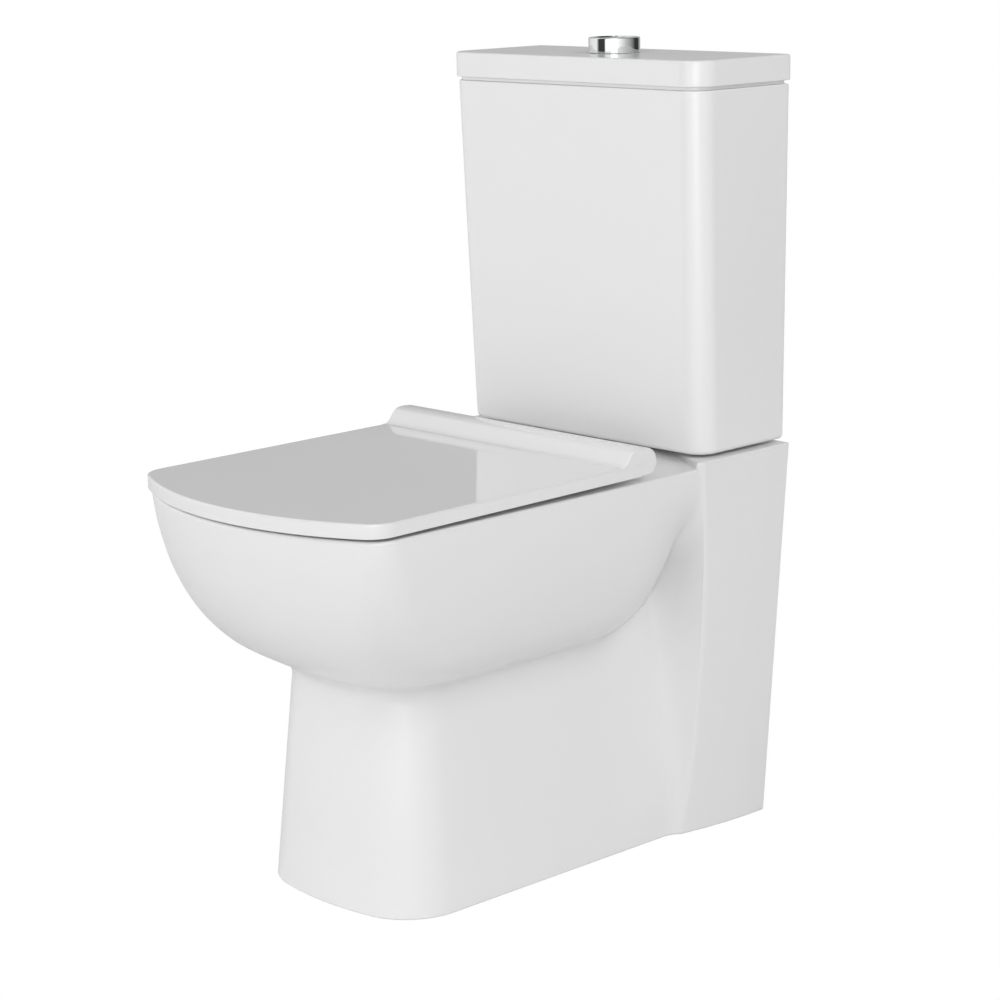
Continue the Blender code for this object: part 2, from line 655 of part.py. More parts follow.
def hex_nut(name, x, d, radius, bore, low, sides):
    """Flat-sided nut pulled up against the underside of the cistern."""
    high = CISTERN_FLOOR_Z - GAP
    nut = turned(name, [(0.0, high), (radius, high), (radius, low), (0.0, low)],
                 x, d, VALVE_PLASTIC, steps=sides)
    return combine(nut, rod(name + "_bore", (x, d, low - 0.01), (x, d, high + 0.01), bore))


# ---- flush valve ----
def make_flush_valve():
    floor = CISTERN_FLOOR_Z + 0.012
    turned("flush_valve_seal", tube_ring(0.0410, 0.0290, floor + GAP, floor + 0.0033),
           0.0, VALVE_D, RUBBER, ring=True)
    base_low = floor + 0.0036
    turned("flush_valve_base",
           [(0.0330, base_low + 0.0190), (0.0330, base_low + 0.0080), (0.0425, base_low + 0.0075),
            (0.0425, base_low), (0.0285, base_low), (0.0285, 0.3880), (0.0250, 0.3880),
            (0.0250, base_low + 0.0190)], 0.0, VALVE_D, VALVE_PLASTIC, ring=True)
    hex_nut("flush_valve_backnut", 0.0, VALVE_D, 0.0380, 0.0289, 0.4050, 12)

    tower_low = base_low + 0.0081
    tower = turned("flush_valve_tower",
                   [(0.0400, 0.6900), (0.0400, 0.4700), (0.0420, 0.4650), (0.0420, tower_low),
                    (0.0370, tower_low), (0.0370, 0.6860), (0.0195, 0.6860), (0.0195, 0.6900)],
                   0.0, VALVE_D, GREY_PLASTIC, ring=True)
    for turn in range(4):
        angle = math.radians(45 + 90 * turn)
        window = box("tower_window_" + str(turn), (0.020, VALVE_D - 0.013, 0.4480),
                     (0.060, VALVE_D + 0.013, 0.5400))
        spin = Matrix.Translation(place(0, VALVE_D, 0)) @ Matrix.Rotation(angle, 4, "Z")
        window.data.transform(spin @ Matrix.Translation(-place(0, VALVE_D, 0)))
        combine(tower, window)
    for side, sign in (("left", -1), ("right", 1)):
        cheek = box("tower_cheek_" + side, (-0.0200, VALVE_D + sign * 0.0150, 0.6880),
                    (0.0200, VALVE_D + sign * 0.0190, ROCKER_Z + 0.0050))
        combine(tower, cheek, "UNION")
    slot = box("tower_hook_slot", (-0.0345, VALVE_D + 0.0020, 0.6800),
               (-0.0180, VALVE_D + 0.0125, 0.7000))
    combine(tower, slot)
    for name, x in (("full", -PIVOT_X), ("half", PIVOT_X)):
        side = 1 if name == "full" else -1
        combine(tower, rod("tower_pivot_" + name, (x, VALVE_D + side * 0.0015, ROCKER_Z),
                           (x, VALVE_D + side * 0.0180, ROCKER_Z), 0.0016, steps=12), "UNION")

    turned("valve_washer", tube_ring(0.0290, 0.0180, base_low + 0.0193, base_low + 0.0225),
           0.0, VALVE_D, RUBBER, ring=True)
    low = base_low + 0.0228
    tube_top = 0.6780
    canister = turned("overflow_canister",
                      [(0.0170, tube_top), (0.0170, low + 0.0300), (0.0300, low + 0.0120),
                       (0.0300, low), (0.0145, low), (0.0145, tube_top)],
                      0.0, VALVE_D, VALVE_PLASTIC, ring=True)
    hook = [(-0.0320, 0.6700), (-0.0290, 0.6700), (-0.0290, ROCKER_Z + 0.0030),
            (-0.0215, ROCKER_Z + 0.0030), (-0.0215, ROCKER_Z + 0.0065), (-0.0320, ROCKER_Z + 0.0065)]
    loops = [[place(x, d, z) for x, z in hook] for d in (VALVE_D + 0.0040, VALVE_D + 0.0105)]
    combine(canister, loft("canister_hook", loops), "UNION")
    combine(canister, box("canister_arm", (-0.0310, VALVE_D + 0.0040, 0.6700),
                          (-0.0130, VALVE_D + 0.0105, 0.6740)), "UNION")
    combine(canister, rod("canister_bore", (0, VALVE_D, 0.60), (0, VALVE_D, 0.75), 0.0145))


def make_rocker(name, sign):
    """Lever on the tower: the push rod presses its pad and its far end lifts."""
    d = VALVE_D + sign * STEM_SIDE
    rocker = box(name, (sign * 0.0120, d - 0.0030, ROCKER_Z - 0.0026),
                 (-sign * 0.0262, d + 0.0030, ROCKER_Z + 0.0026), GREY_PLASTIC)
    combine(rocker, rod(name + "_bore", (-sign * PIVOT_X, VALVE_D - 0.03, ROCKER_Z),
                        (-sign * PIVOT_X, VALVE_D + 0.03, ROCKER_Z), 0.0019, steps=12))
    return rocker


# ---- dual flush button ----
def make_button():
    base = COVER_TOP_Z + GAP
    collar = turned("button_collar",
                    [(0.0265, BUTTON_TOP_Z), (BUTTON_RADIUS, BUTTON_TOP_Z - 0.0006),
                     (BUTTON_RADIUS, base), (0.0190, base), (0.0190, 0.7780), (0.0165, 0.7780),
                     (0.0165, 0.7950), (0.0165, base + 0.0015), (0.0232, base + 0.0015),
                     (0.0232, BUTTON_TOP_Z)], 0.0, VALVE_D, CHROME, ring=True, steps=40)
    web = rod("collar_web", (0, VALVE_D, 0.7960), (0, VALVE_D, 0.7990), 0.0175)
    combine(collar, web, "UNION")
    for name, sign in (("full", 1), ("half", -1)):
        combine(collar, rod("web_hole_" + name, (sign * STEM_X, VALVE_D + sign * STEM_SIDE, 0.79),
                            (sign * STEM_X, VALVE_D + sign * STEM_SIDE, 0.81), 0.0030, steps=16))
    turned("button_locknut", tube_ring(0.0300, 0.0193, 0.7955, COVER_TOP_Z - 0.0105 - GAP),
           0.0, VALVE_D, VALVE_PLASTIC, ring=True, steps=24)

    for name, sign in (("full", 1), ("half", -1)):
        make_button_half(name, sign)


def make_button_half(name, sign):
    """One half of the split button with its stem, its push rod and its return spring."""
    top, low = BUTTON_TOP_Z - 0.0005, BUTTON_TOP_Z - 0.0070
    x, d = sign * STEM_X, VALVE_D + sign * STEM_SIDE
    button = rod(name + "_flush_button", (0, VALVE_D, low), (0, VALVE_D, top), 0.0228, CHROME,
                 steps=40)
    split = -0.0040
    if sign > 0:
        away = box("split_cut_" + name, (-0.04, 0.0, 0.80), (split + 0.0003, 0.2, 0.85))
    else:
        away = box("split_cut_" + name, (split - 0.0003, 0.0, 0.80), (0.04, 0.2, 0.85))
    combine(button, away)
    combine(button, rod(name + "_stem", (x, d, 0.7850), (x, d, low + 0.002), 0.0026, steps=16),
            "UNION")
    foot = ROCKER_Z + 0.0029
    turned(name + "_push_rod", [(0.0, 0.7847), (0.0026, 0.7847), (0.0026, foot + 0.0040),
                                (0.0010, foot), (0.0, foot)], x, d, STEEL, steps=16)
    turns, points = 4, 10
    rest_low, rest_high = 0.7990 + GAP + 0.0005, low - GAP - 0.0005
    path = []
    for i in range(turns * points + 1):
        angle = 2 * math.pi * i / points
        z = rest_low + (rest_high - rest_low) * i / (turns * points)
        path.append((x + 0.0040 * math.cos(angle), d + 0.0040 * math.sin(angle), z))
    spring = piped(name + "_button_spring", path, 0.00045, STEEL, order=2)
    return spring


# ---- fill valve ----
def make_fill_valve():
    floor = CISTERN_FLOOR_Z + 0.012
    turned("fill_valve_washer", tube_ring(0.0180, 0.0106, floor + GAP, floor + 0.0030),
           FILL_X, FILL_D, RUBBER, ring=True, steps=24)
    low = floor + 0.0033
    turned("fill_valve_body",
           [(0.0110, 0.6900), (0.0110, low + 0.0050), (0.0180, low + 0.0045), (0.0180, low),
            (0.0102, low), (0.0102, 0.3720), (0.0055, 0.3720), (0.0055, 0.6900)],
           FILL_X, FILL_D, VALVE_PLASTIC, ring=True, steps=24)
    hex_nut("fill_valve_backnut", FILL_X, FILL_D, 0.0170, 0.0106, 0.4080, 6)
    head = turned("fill_valve_head",
                  [(0.0, 0.7140), (0.0140, 0.7140), (0.0160, 0.7120), (0.0160, 0.6903),
                   (0.0, 0.6903)], FILL_X, FILL_D, GREY_PLASTIC, steps=24)
    for side, sign in (("left", -1), ("right", 1)):
        combine(head, box("head_ear_" + side, (FILL_X - 0.004, FILL_D + sign * 0.0035, 0.7130),
                          (FILL_X + 0.004, FILL_D + sign * 0.0060, LEVER_Z + 0.0040)), "UNION")
    combine(head, rod("head_pivot", (FILL_X, FILL_D - 0.005, LEVER_Z),
                      (FILL_X, FILL_D + 0.005, LEVER_Z), 0.0014, steps=12), "UNION")
    turned("fill_float",
           [(0.0270, 0.6600), (0.0280, 0.6590), (0.0280, 0.5800), (0.0250, 0.5800),
            (0.0250, 0.6560), (0.0150, 0.6560), (0.0150, 0.5800), (0.0120, 0.5800),
            (0.0120, 0.6600)], FILL_X, FILL_D, VALVE_PLASTIC, ring=True)
    link = rod("float_link", (FILL_X + LEVER_REACH, FILL_D, 0.6570),
               (FILL_X + LEVER_REACH, FILL_D, LEVER_Z - 0.0025), 0.0014, steps=12)
    combine(bpy.data.objects["fill_float"], link, "UNION")
    lever = box("fill_lever", (FILL_X - 0.0050, FILL_D - 0.0030, LEVER_Z - 0.0022),
                (FILL_X + LEVER_REACH + 0.0030, FILL_D + 0.0030, LEVER_Z + 0.0022), GREY_PLASTIC)
    combine(lever, rod("lever_bore", (FILL_X, FILL_D - 0.01, LEVER_Z),
                       (FILL_X, FILL_D + 0.01, LEVER_Z), 0.0017, steps=12))
    return lever


def set_origin(name, x, d, z):
    """Put a moving piece's origin on its joint, leaving the piece where it is."""
    obj = bpy.data.objects[name]
    shift = place(x, d, z) - obj.location
    obj.data.transform(Matrix.Translation(-shift))
    obj.location += shift


# ---- assembly ----
make_pan()
make_pan_inside()
make_cistern()
make_cistern_lid()
make_seat_lid()
make_seat_ring()
for hinge_side, hinge_sign in (("left", -1), ("right", 1)):
    make_hinge(hinge_side, hinge_sign)
make_buffers()
make_coupling()
make_flush_valve()
make_rocker("full_flush_rocker", 1)
make_rocker("half_flush_rocker", -1)
make_button()
make_fill_valve()
for piece in ("seat_lid", "seat_ring"):
    set_origin(piece, 0.0, HINGE_D, HINGE_Z)
set_origin("cistern_lid", 0.0, VALVE_D, CISTERN_TOP_Z)
set_origin("full_flush_rocker", -PIVOT_X, VALVE_D, ROCKER_Z)
set_origin("half_flush_rocker", PIVOT_X, VALVE_D, ROCKER_Z)
set_origin("fill_lever", FILL_X, FILL_D, LEVER_Z)
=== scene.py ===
"""Close coupled toilet: the finished surfaces, materials, lights and camera.

Metres, +Z up, floor at z = 0. Outlines are (x, d), where d is the distance from the wall.
"""

import json
import math

import bmesh
import bpy
from mathutils import Matrix, Vector


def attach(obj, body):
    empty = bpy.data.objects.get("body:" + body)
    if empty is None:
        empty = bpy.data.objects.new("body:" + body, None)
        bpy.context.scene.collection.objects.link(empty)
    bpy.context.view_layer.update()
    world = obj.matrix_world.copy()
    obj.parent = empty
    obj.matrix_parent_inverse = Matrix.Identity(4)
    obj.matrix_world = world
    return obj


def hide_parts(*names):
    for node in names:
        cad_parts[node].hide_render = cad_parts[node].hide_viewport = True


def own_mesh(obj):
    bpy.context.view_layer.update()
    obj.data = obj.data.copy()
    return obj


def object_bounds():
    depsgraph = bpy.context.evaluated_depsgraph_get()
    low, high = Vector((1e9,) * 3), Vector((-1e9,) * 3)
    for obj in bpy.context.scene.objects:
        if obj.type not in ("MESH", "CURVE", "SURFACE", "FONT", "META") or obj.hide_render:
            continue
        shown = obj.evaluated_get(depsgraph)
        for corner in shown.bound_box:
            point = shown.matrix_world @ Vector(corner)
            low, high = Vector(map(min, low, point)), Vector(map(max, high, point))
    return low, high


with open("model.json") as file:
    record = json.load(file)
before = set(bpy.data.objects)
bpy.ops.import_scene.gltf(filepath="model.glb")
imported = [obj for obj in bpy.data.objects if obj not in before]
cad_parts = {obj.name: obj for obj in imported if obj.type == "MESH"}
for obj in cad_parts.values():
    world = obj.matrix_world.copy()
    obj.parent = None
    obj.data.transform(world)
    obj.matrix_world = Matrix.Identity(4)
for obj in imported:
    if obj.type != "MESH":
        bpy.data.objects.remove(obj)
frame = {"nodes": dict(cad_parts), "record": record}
CAD_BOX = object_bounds()
WALL_Y = CAD_BOX[1].y


# ---- camera and surroundings ----
CAMERA_TARGET = Vector((0.0056, 0.0548, 0.3696))
CAMERA_AZIMUTH = math.radians(45.97)
CAMERA_ELEVATION = math.radians(12.86)
CAMERA_ROLL = math.radians(-1.035)
CAMERA_DISTANCE = 2.6876
CAMERA_LENS = 93.69
CAMERA_SENSOR = 36.0


def make_camera():
    """Camera that looks at its target from the front right, a little above the seat."""
    azimuth, elevation = CAMERA_AZIMUTH, CAMERA_ELEVATION
    back = Vector((math.sin(azimuth) * math.cos(elevation),
                   -math.cos(azimuth) * math.cos(elevation), math.sin(elevation)))
    level = Vector((math.cos(azimuth), math.sin(azimuth), 0.0))
    upright = back.cross(level)
    right = math.cos(CAMERA_ROLL) * level + math.sin(CAMERA_ROLL) * upright
    up = back.cross(right)
    data = bpy.data.cameras.new("camera")
    data.lens = CAMERA_LENS
    data.sensor_width = CAMERA_SENSOR
    data.clip_end = 50.0
    camera = bpy.data.objects.new("camera", data)
    turn = Matrix((right, up, back)).transposed().to_4x4()
    camera.matrix_world = Matrix.Translation(CAMERA_TARGET + back * CAMERA_DISTANCE) @ turn
    bpy.context.scene.collection.objects.link(camera)
    bpy.context.scene.camera = camera


make_camera()
bpy.context.scene.view_settings.view_transform = "Standard"


# Bearing round the studio, 0 to 1 anticlockwise from the -X side, and how bright it is there.
STUDIO_BEARINGS = [
    (0.000, 0.85), (0.130, 1.00), (0.165, 0.05), (0.248, 0.05), (0.260, 1.25), (0.420, 1.20),
    (0.520, 0.60), (0.600, 0.30), (0.660, 0.04), (0.740, 0.04), (0.770, 0.45), (0.930, 0.45),
    (1.000, 0.85),
]
FILL_STRENGTH = 0.29
WHITE = (1.0, 1.0, 1.0, 1.0)


def fill_ramp(ramp, stops):
    """Colour ramp stops given as (position, grey)."""
    ramp.color_ramp.elements[0].position = stops[0][0]
    ramp.color_ramp.elements[0].color = (*[stops[0][1]] * 3, 1.0)
    ramp.color_ramp.elements[1].position = stops[-1][0]
    ramp.color_ramp.elements[1].color = (*[stops[-1][1]] * 3, 1.0)
    for position, grey in stops[1:-1]:
        stop = ramp.color_ramp.elements.new(position)
        stop.color = (*[grey] * 3, 1.0)


def make_surroundings():
    """White backdrop, soft grey fill, and a studio with dark flags for polished metal."""
    world = bpy.data.worlds.new("studio")
    world.use_nodes = True
    tree = world.node_tree
    fill = tree.nodes["Background"]
    fill.inputs["Color"].default_value = WHITE
    fill.inputs["Strength"].default_value = FILL_STRENGTH

    direction = tree.nodes.new("ShaderNodeTexCoord")
    split = tree.nodes.new("ShaderNodeSeparateXYZ")
    tree.links.new(direction.outputs["Generated"], split.inputs[0])
    bearing = tree.nodes.new("ShaderNodeMath")
    bearing.operation = "ARCTAN2"
    tree.links.new(split.outputs["Y"], bearing.inputs[0])
    tree.links.new(split.outputs["X"], bearing.inputs[1])
    share = tree.nodes.new("ShaderNodeMapRange")
    share.inputs["From Min"].default_value = -math.pi
    share.inputs["From Max"].default_value = math.pi
    tree.links.new(bearing.outputs[0], share.inputs["Value"])
    flags = tree.nodes.new("ShaderNodeValToRGB")
    fill_ramp(flags, STUDIO_BEARINGS)
    tree.links.new(share.outputs["Result"], flags.inputs["Fac"])
    studio = tree.nodes.new("ShaderNodeBackground")
    tree.links.new(flags.outputs["Color"], studio.inputs["Color"])

    backdrop = tree.nodes.new("ShaderNodeBackground")
    backdrop.inputs["Color"].default_value = WHITE
    rays = tree.nodes.new("ShaderNodeLightPath")
    polished = tree.nodes.new("ShaderNodeMixShader")
    tree.links.new(rays.outputs["Is Glossy Ray"], polished.inputs["Fac"])
    tree.links.new(fill.outputs[0], polished.inputs[1])
    tree.links.new(studio.outputs[0], polished.inputs[2])
    seen = tree.nodes.new("ShaderNodeMixShader")
    tree.links.new(rays.outputs["Is Camera Ray"], seen.inputs["Fac"])
    tree.links.new(polished.outputs[0], seen.inputs[1])
    tree.links.new(backdrop.outputs[0], seen.inputs[2])
    tree.links.new(seen.outputs[0], tree.nodes["World Output"].inputs["Surface"])
    bpy.context.scene.world = world


LIGHT_AIM = Vector((0.0, 0.0, 0.42))
SOFTBOX_HEIGHT = 1.8
FLOOR_RADIUS = 2.4
FLOOR_PAINT = (0.80, 0.80, 0.80, 1.0)

# Softboxes: name, place, width, power, and whether gloss and chrome mirror the lamp itself.
SOFTBOXES = [
    ("front softbox", (0.0, -3.2, 0.9), 2.4, 11, False),
    ("front left softbox", (-2.3, -2.3, 0.9), 2.4, 19, False),
    ("left softbox", (-3.2, 0.0, 0.9), 2.4, 22, False),
    ("front right softbox", (2.3, -2.3, 0.9), 1.6, 25, True),
    ("rear right softbox", (2.3, 2.3, 0.9), 2.4, 5, False),
    ("rear left softbox", (-2.3, 2.3, 1.2), 2.4, 11, False),
    ("high front softbox", (0.3, -2.6, 2.6), 2.4, 23, False),
    ("high right softbox", (2.6, 0.3, 2.6), 2.4, 38, False),
]


def area_light(name, where, width, power, mirrored_in_gloss):
    """Softbox turned to face the middle of the toilet."""
    data = bpy.data.lights.new(name, "AREA")
    data.shape = "RECTANGLE"
    data.size, data.size_y = width, SOFTBOX_HEIGHT
    data.energy = power
    lamp = bpy.data.objects.new(name, data)
    lamp.location = where
    aim = LIGHT_AIM - Vector(where)
    lamp.rotation_euler = aim.to_track_quat("-Z", "Y").to_euler()
    lamp.visible_camera = False
    lamp.visible_glossy = mirrored_in_gloss
    bpy.context.scene.collection.objects.link(lamp)


def make_floor():
    """Pale floor that is plain white to look at and lights the toilet from below."""
    bm = bmesh.new()
    bmesh.ops.create_circle(bm, cap_ends=True, segments=96, radius=FLOOR_RADIUS)
    mesh = bpy.data.meshes.new("floor")
    bm.to_mesh(mesh)
    bm.free()
    floor = bpy.data.objects.new("floor", mesh)
    bpy.context.scene.collection.objects.link(floor)
    material = bpy.data.materials.new("white studio floor")
    material.use_nodes = True
    tree = material.node_tree
    tree.nodes.remove(tree.nodes["Principled BSDF"])
    paint = tree.nodes.new("ShaderNodeBsdfDiffuse")
    paint.inputs["Color"].default_value = FLOOR_PAINT
    glow = tree.nodes.new("ShaderNodeEmission")
    glow.inputs["Color"].default_value = WHITE
    glow.inputs["Strength"].default_value = 1.0
    rays = tree.nodes.new("ShaderNodeLightPath")
    mix = tree.nodes.new("ShaderNodeMixShader")
    tree.links.new(rays.outputs["Is Camera Ray"], mix.inputs["Fac"])
    tree.links.new(paint.outputs[0], mix.inputs[1])
    tree.links.new(glow.outputs[0], mix.inputs[2])
    tree.links.new(mix.outputs[0], tree.nodes["Material Output"].inputs["Surface"])
    floor.data.materials.append(material)


make_surroundings()
for softbox in SOFTBOXES:
    area_light(*softbox)
make_floor()


# ---- materials ----
def finish(name, colour, roughness, metallic=0.0, ior=1.5, coat=0.0, coat_roughness=0.03,
           tint=0.02, tint_scale=6.0, wear=0.04, wear_scale=30.0, relief=0.02, relief_scale=60.0,
           relief_depth=0.0002, grain=(1.0, 1.0, 1.0)):
    """Shader with drifting colour, uneven gloss and a fine surface relief."""
    material = bpy.data.materials.new(name)
    material.use_nodes = True
    tree = material.node_tree
    shader = tree.nodes["Principled BSDF"]
    shader.inputs["Metallic"].default_value = metallic
    shader.inputs["IOR"].default_value = ior
    shader.inputs["Coat Weight"].default_value = coat
    shader.inputs["Coat Roughness"].default_value = coat_roughness

    place_map = tree.nodes.new("ShaderNodeTexCoord")
    stretch = tree.nodes.new("ShaderNodeMapping")
    stretch.inputs["Scale"].default_value = grain
    tree.links.new(place_map.outputs["Object"], stretch.inputs["Vector"])

    cloud = tree.nodes.new("ShaderNodeTexNoise")
    cloud.inputs["Scale"].default_value = tint_scale
    cloud.inputs["Detail"].default_value = 3.0
    tree.links.new(stretch.outputs["Vector"], cloud.inputs["Vector"])
    tones = tree.nodes.new("ShaderNodeMix")
    tones.data_type = "RGBA"
    tones.inputs["A"].default_value = (*[c * (1.0 - tint) for c in colour], 1.0)
    tones.inputs["B"].default_value = (*[min(1.0, c * (1.0 + tint)) for c in colour], 1.0)
    tree.links.new(cloud.outputs["Fac"], tones.inputs["Factor"])
    tree.links.new(tones.outputs["Result"], shader.inputs["Base Color"])

    patches = tree.nodes.new("ShaderNodeTexNoise")
    patches.inputs["Scale"].default_value = wear_scale
    patches.inputs["Detail"].default_value = 4.0
    tree.links.new(stretch.outputs["Vector"], patches.inputs["Vector"])
    gloss = tree.nodes.new("ShaderNodeMapRange")
    gloss.inputs["To Min"].default_value = max(0.0, roughness - wear)
    gloss.inputs["To Max"].default_value = roughness + wear
    tree.links.new(patches.outputs["Fac"], gloss.inputs["Value"])
    tree.links.new(gloss.outputs["Result"], shader.inputs["Roughness"])

    waves = tree.nodes.new("ShaderNodeTexNoise")
    waves.inputs["Scale"].default_value = relief_scale
    waves.inputs["Detail"].default_value = 2.0
    tree.links.new(stretch.outputs["Vector"], waves.inputs["Vector"])
    bump = tree.nodes.new("ShaderNodeBump")
    bump.inputs["Strength"].default_value = relief
    bump.inputs["Distance"].default_value = relief_depth
    tree.links.new(waves.outputs["Fac"], bump.inputs["Height"])
    tree.links.new(bump.outputs["Normal"], shader.inputs["Normal"])
    return material


GLAZE = finish("white glazed ceramic", (0.82, 0.82, 0.82), 0.24, ior=1.52, tint=0.006,
               tint_scale=5.0, wear=0.03, wear_scale=14.0, relief=0.10, relief_scale=38.0,
               relief_depth=0.0006)
SEAT_GLOSS = finish("white thermoset seat plastic", (0.81, 0.81, 0.81), 0.10, coat=1.0,
                    coat_roughness=0.012, tint=0.004, wear=0.02, relief=0.02,
                    relief_scale=26.0, relief_depth=0.0003)
CHROME = finish("chrome plate", (0.80, 0.81, 0.82), 0.035, metallic=1.0, tint=0.02, wear=0.015,
                wear_scale=90.0, relief=0.02, relief_scale=90.0, relief_depth=0.0001)
SATIN_CHROME = finish("satin chrome", (0.66, 0.67, 0.68), 0.16, metallic=1.0, tint=0.03,
                      wear=0.04, wear_scale=120.0, relief=0.03, relief_scale=400.0)
ACETAL = finish("white acetal", (0.74, 0.74, 0.71), 0.42, tint=0.02, tint_scale=22.0, wear=0.06,
                relief=0.15, relief_scale=420.0)
GREY_PLASTIC = finish("grey polypropylene", (0.30, 0.33, 0.36), 0.48, tint=0.05,
                      tint_scale=24.0, wear=0.07, relief=0.2, relief_scale=460.0)
BLACK_RUBBER = finish("black rubber", (0.025, 0.025, 0.026), 0.72, tint=0.2, tint_scale=40.0,
                      wear=0.1, relief=0.4, relief_scale=500.0)
BUFFER_RUBBER = finish("translucent buffer rubber", (0.70, 0.70, 0.67), 0.38, tint=0.02,
                       wear=0.05, relief=0.1, relief_scale=300.0)
STEEL = finish("stainless steel", (0.56, 0.56, 0.55), 0.30, metallic=1.0, tint=0.05,
               tint_scale=60.0, wear=0.08, wear_scale=200.0, relief=0.15, relief_scale=500.0,
               grain=(1.0, 1.0, 0.08))
SPONGE = finish("black sponge rubber", (0.035, 0.034, 0.033), 0.92, tint=0.3, tint_scale=120.0,
                wear=0.06, relief=1.0, relief_scale=700.0, relief_depth=0.0008)

SLOT_FINISH = {
    "glazed_ceramic": GLAZE, "seat_thermoset": SEAT_GLOSS, "chrome_plate": CHROME,
    "white_acetal": ACETAL, "grey_polypropylene": GREY_PLASTIC, "black_rubber": BLACK_RUBBER,
    "buffer_rubber": BUFFER_RUBBER, "stainless_steel": STEEL, "sponge_rubber": SPONGE,
}
NODE_SLOT = {row["node"]: row["material_slot"] for row in frame["record"]["subparts"]}
BODY_OF = {node: body for body, members in frame["record"]["behaviour"]["bodies"].items()
           for node in members}


# ---- shared builders ----
def place(x, d, z):
    """World position of a point at the distance d from the wall."""
    return Vector((x, WALL_Y - d, z))


def new_object(name, bm):
    mesh = bpy.data.meshes.new(name)
    bm.to_mesh(mesh)
    bm.free()
    obj = bpy.data.objects.new(name, mesh)
    bpy.context.scene.collection.objects.link(obj)
    return obj


def loft(name, loops):
    """Closed solid through outlines of equal count: a grid wrapped round them, ends filled."""
    rows, count = len(loops), len(loops[0])
    bm = bmesh.new()
    bmesh.ops.create_grid(bm, x_segments=count, y_segments=rows - 1, size=0.5)
    for vert in bm.verts:
        column = round((vert.co.x + 0.5) * count) % count
        row = round((vert.co.y + 0.5) * (rows - 1))
        vert.co = loops[row][column]
    bmesh.ops.remove_doubles(bm, verts=bm.verts, dist=0.0000005)
    bmesh.ops.holes_fill(bm, edges=bm.edges, sides=0)
    bmesh.ops.recalc_face_normals(bm, faces=bm.faces)
    return new_object(name, bm)


def block(name, low, high):
    """Box between two corners given as (x, d, z)."""
    a, b = place(*low), place(*high)
    bm = bmesh.new()
    bmesh.ops.create_cube(bm, size=1.0)
    bmesh.ops.scale(bm, vec=[abs(b[i] - a[i]) for i in range(3)], verts=bm.verts)
    bmesh.ops.translate(bm, vec=(a + b) / 2, verts=bm.verts)
    return new_object(name, bm)


def rod(name, start, end, radius, steps=48):
    """Cylinder between two points given as (x, d, z)."""
    a, b = place(*start), place(*end)
    bm = bmesh.new()
    bmesh.ops.create_cone(bm, cap_ends=True, segments=steps, radius1=radius, radius2=radius,
                          depth=(b - a).length)
    turn = Vector((0, 0, 1)).rotation_difference(b - a).to_matrix().to_4x4()
    bmesh.ops.transform(bm, matrix=Matrix.Translation((a + b) / 2) @ turn, verts=bm.verts)
    return new_object(name, bm)


def turned(name, profile, x, d, steps=96):
    """Closed (radius, z) profile spun about a vertical axis."""
    bm = bmesh.new()
    verts = [bm.verts.new((radius, 0.0, z)) for radius, z in profile]
    edges = [bm.edges.new(pair) for pair in zip(verts, verts[1:] + verts[:1])
             if pair[0].co.x > 0.0 or pair[1].co.x > 0.0]
    bmesh.ops.spin(bm, geom=verts + edges, cent=(0, 0, 0), axis=(0, 0, 1), steps=steps,
                   angle=2 * math.pi, use_merge=True)
    bmesh.ops.remove_doubles(bm, verts=bm.verts, dist=0.000001)
    bmesh.ops.recalc_face_normals(bm, faces=bm.faces)
    bmesh.ops.translate(bm, vec=place(x, d, 0.0), verts=bm.verts)
    return new_object(name, bm)


def swept(name, path, radius, steps=32):
    """Round bar along (x, d, z) points: a loft of circles square to the path."""
    points = [place(*p) for p in path]
    loops = []
    for i, point in enumerate(points):
        ahead = points[min(i + 1, len(points) - 1)] - points[max(i - 1, 0)]
        side = Vector((1, 0, 0))
        over = ahead.normalized().cross(side).normalized()
        loops.append([point + radius * (math.cos(a) * side + math.sin(a) * over)
                      for a in (2 * math.pi * k / steps for k in range(steps))])
    return loft(name, loops)


def join(target, other, operation="DIFFERENCE"):
    """Boolean of two closed pieces, applied at once. The second piece is used up."""
    tool = target.modifiers.new("join", "BOOLEAN")
    tool.operation = operation
    tool.solver = "EXACT"
    tool.object = other
    graph = bpy.context.evaluated_depsgraph_get()
    mesh = bpy.data.meshes.new_from_object(target.evaluated_get(graph))
    target.modifiers.clear()
    old = target.data
    target.data = mesh
    bpy.data.meshes.remove(old)
    bpy.data.objects.remove(other)
    return target


def dress(obj, material, node, replaced=None, sharp=32, soften=0.0):
    """Shade a finished piece, give it its material and hang it on its node's body."""
    obj.data.materials.clear()
    obj.data.materials.append(material)
    obj.data.shade_smooth()
    obj.data.set_sharp_from_angle(angle=math.radians(sharp))
    if soften > 0.0:
        edge = obj.modifiers.new("softened edges", "BEVEL")
        edge.width = soften
        edge.segments = 2
        edge.limit_method = "ANGLE"
        edge.angle_limit = math.radians(40)
        edge.harden_normals = True
    else:
        flat = obj.modifiers.new("even shading", "WEIGHTED_NORMAL")
        flat.keep_sharp = True
        flat.weight = 100
    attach(obj, BODY_OF[node])
    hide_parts(*(replaced or [node]))
    return obj


def arc(cx, cd, radius, start, end, count):
    """Arc about (cx, cd), the angle measured from the +d direction towards +x, in degrees."""
    points = []
    for i in range(count):
        angle = math.radians(start + (end - start) * i / (count - 1))
        points.append((cx + radius * math.sin(angle), cd + radius * math.cos(angle)))
    return points


def mirrored(right):
    """Whole outline from its right half, which starts on the centre line."""
    return right + [(-x, d) for x, d in reversed(right) if x > 1e-6]


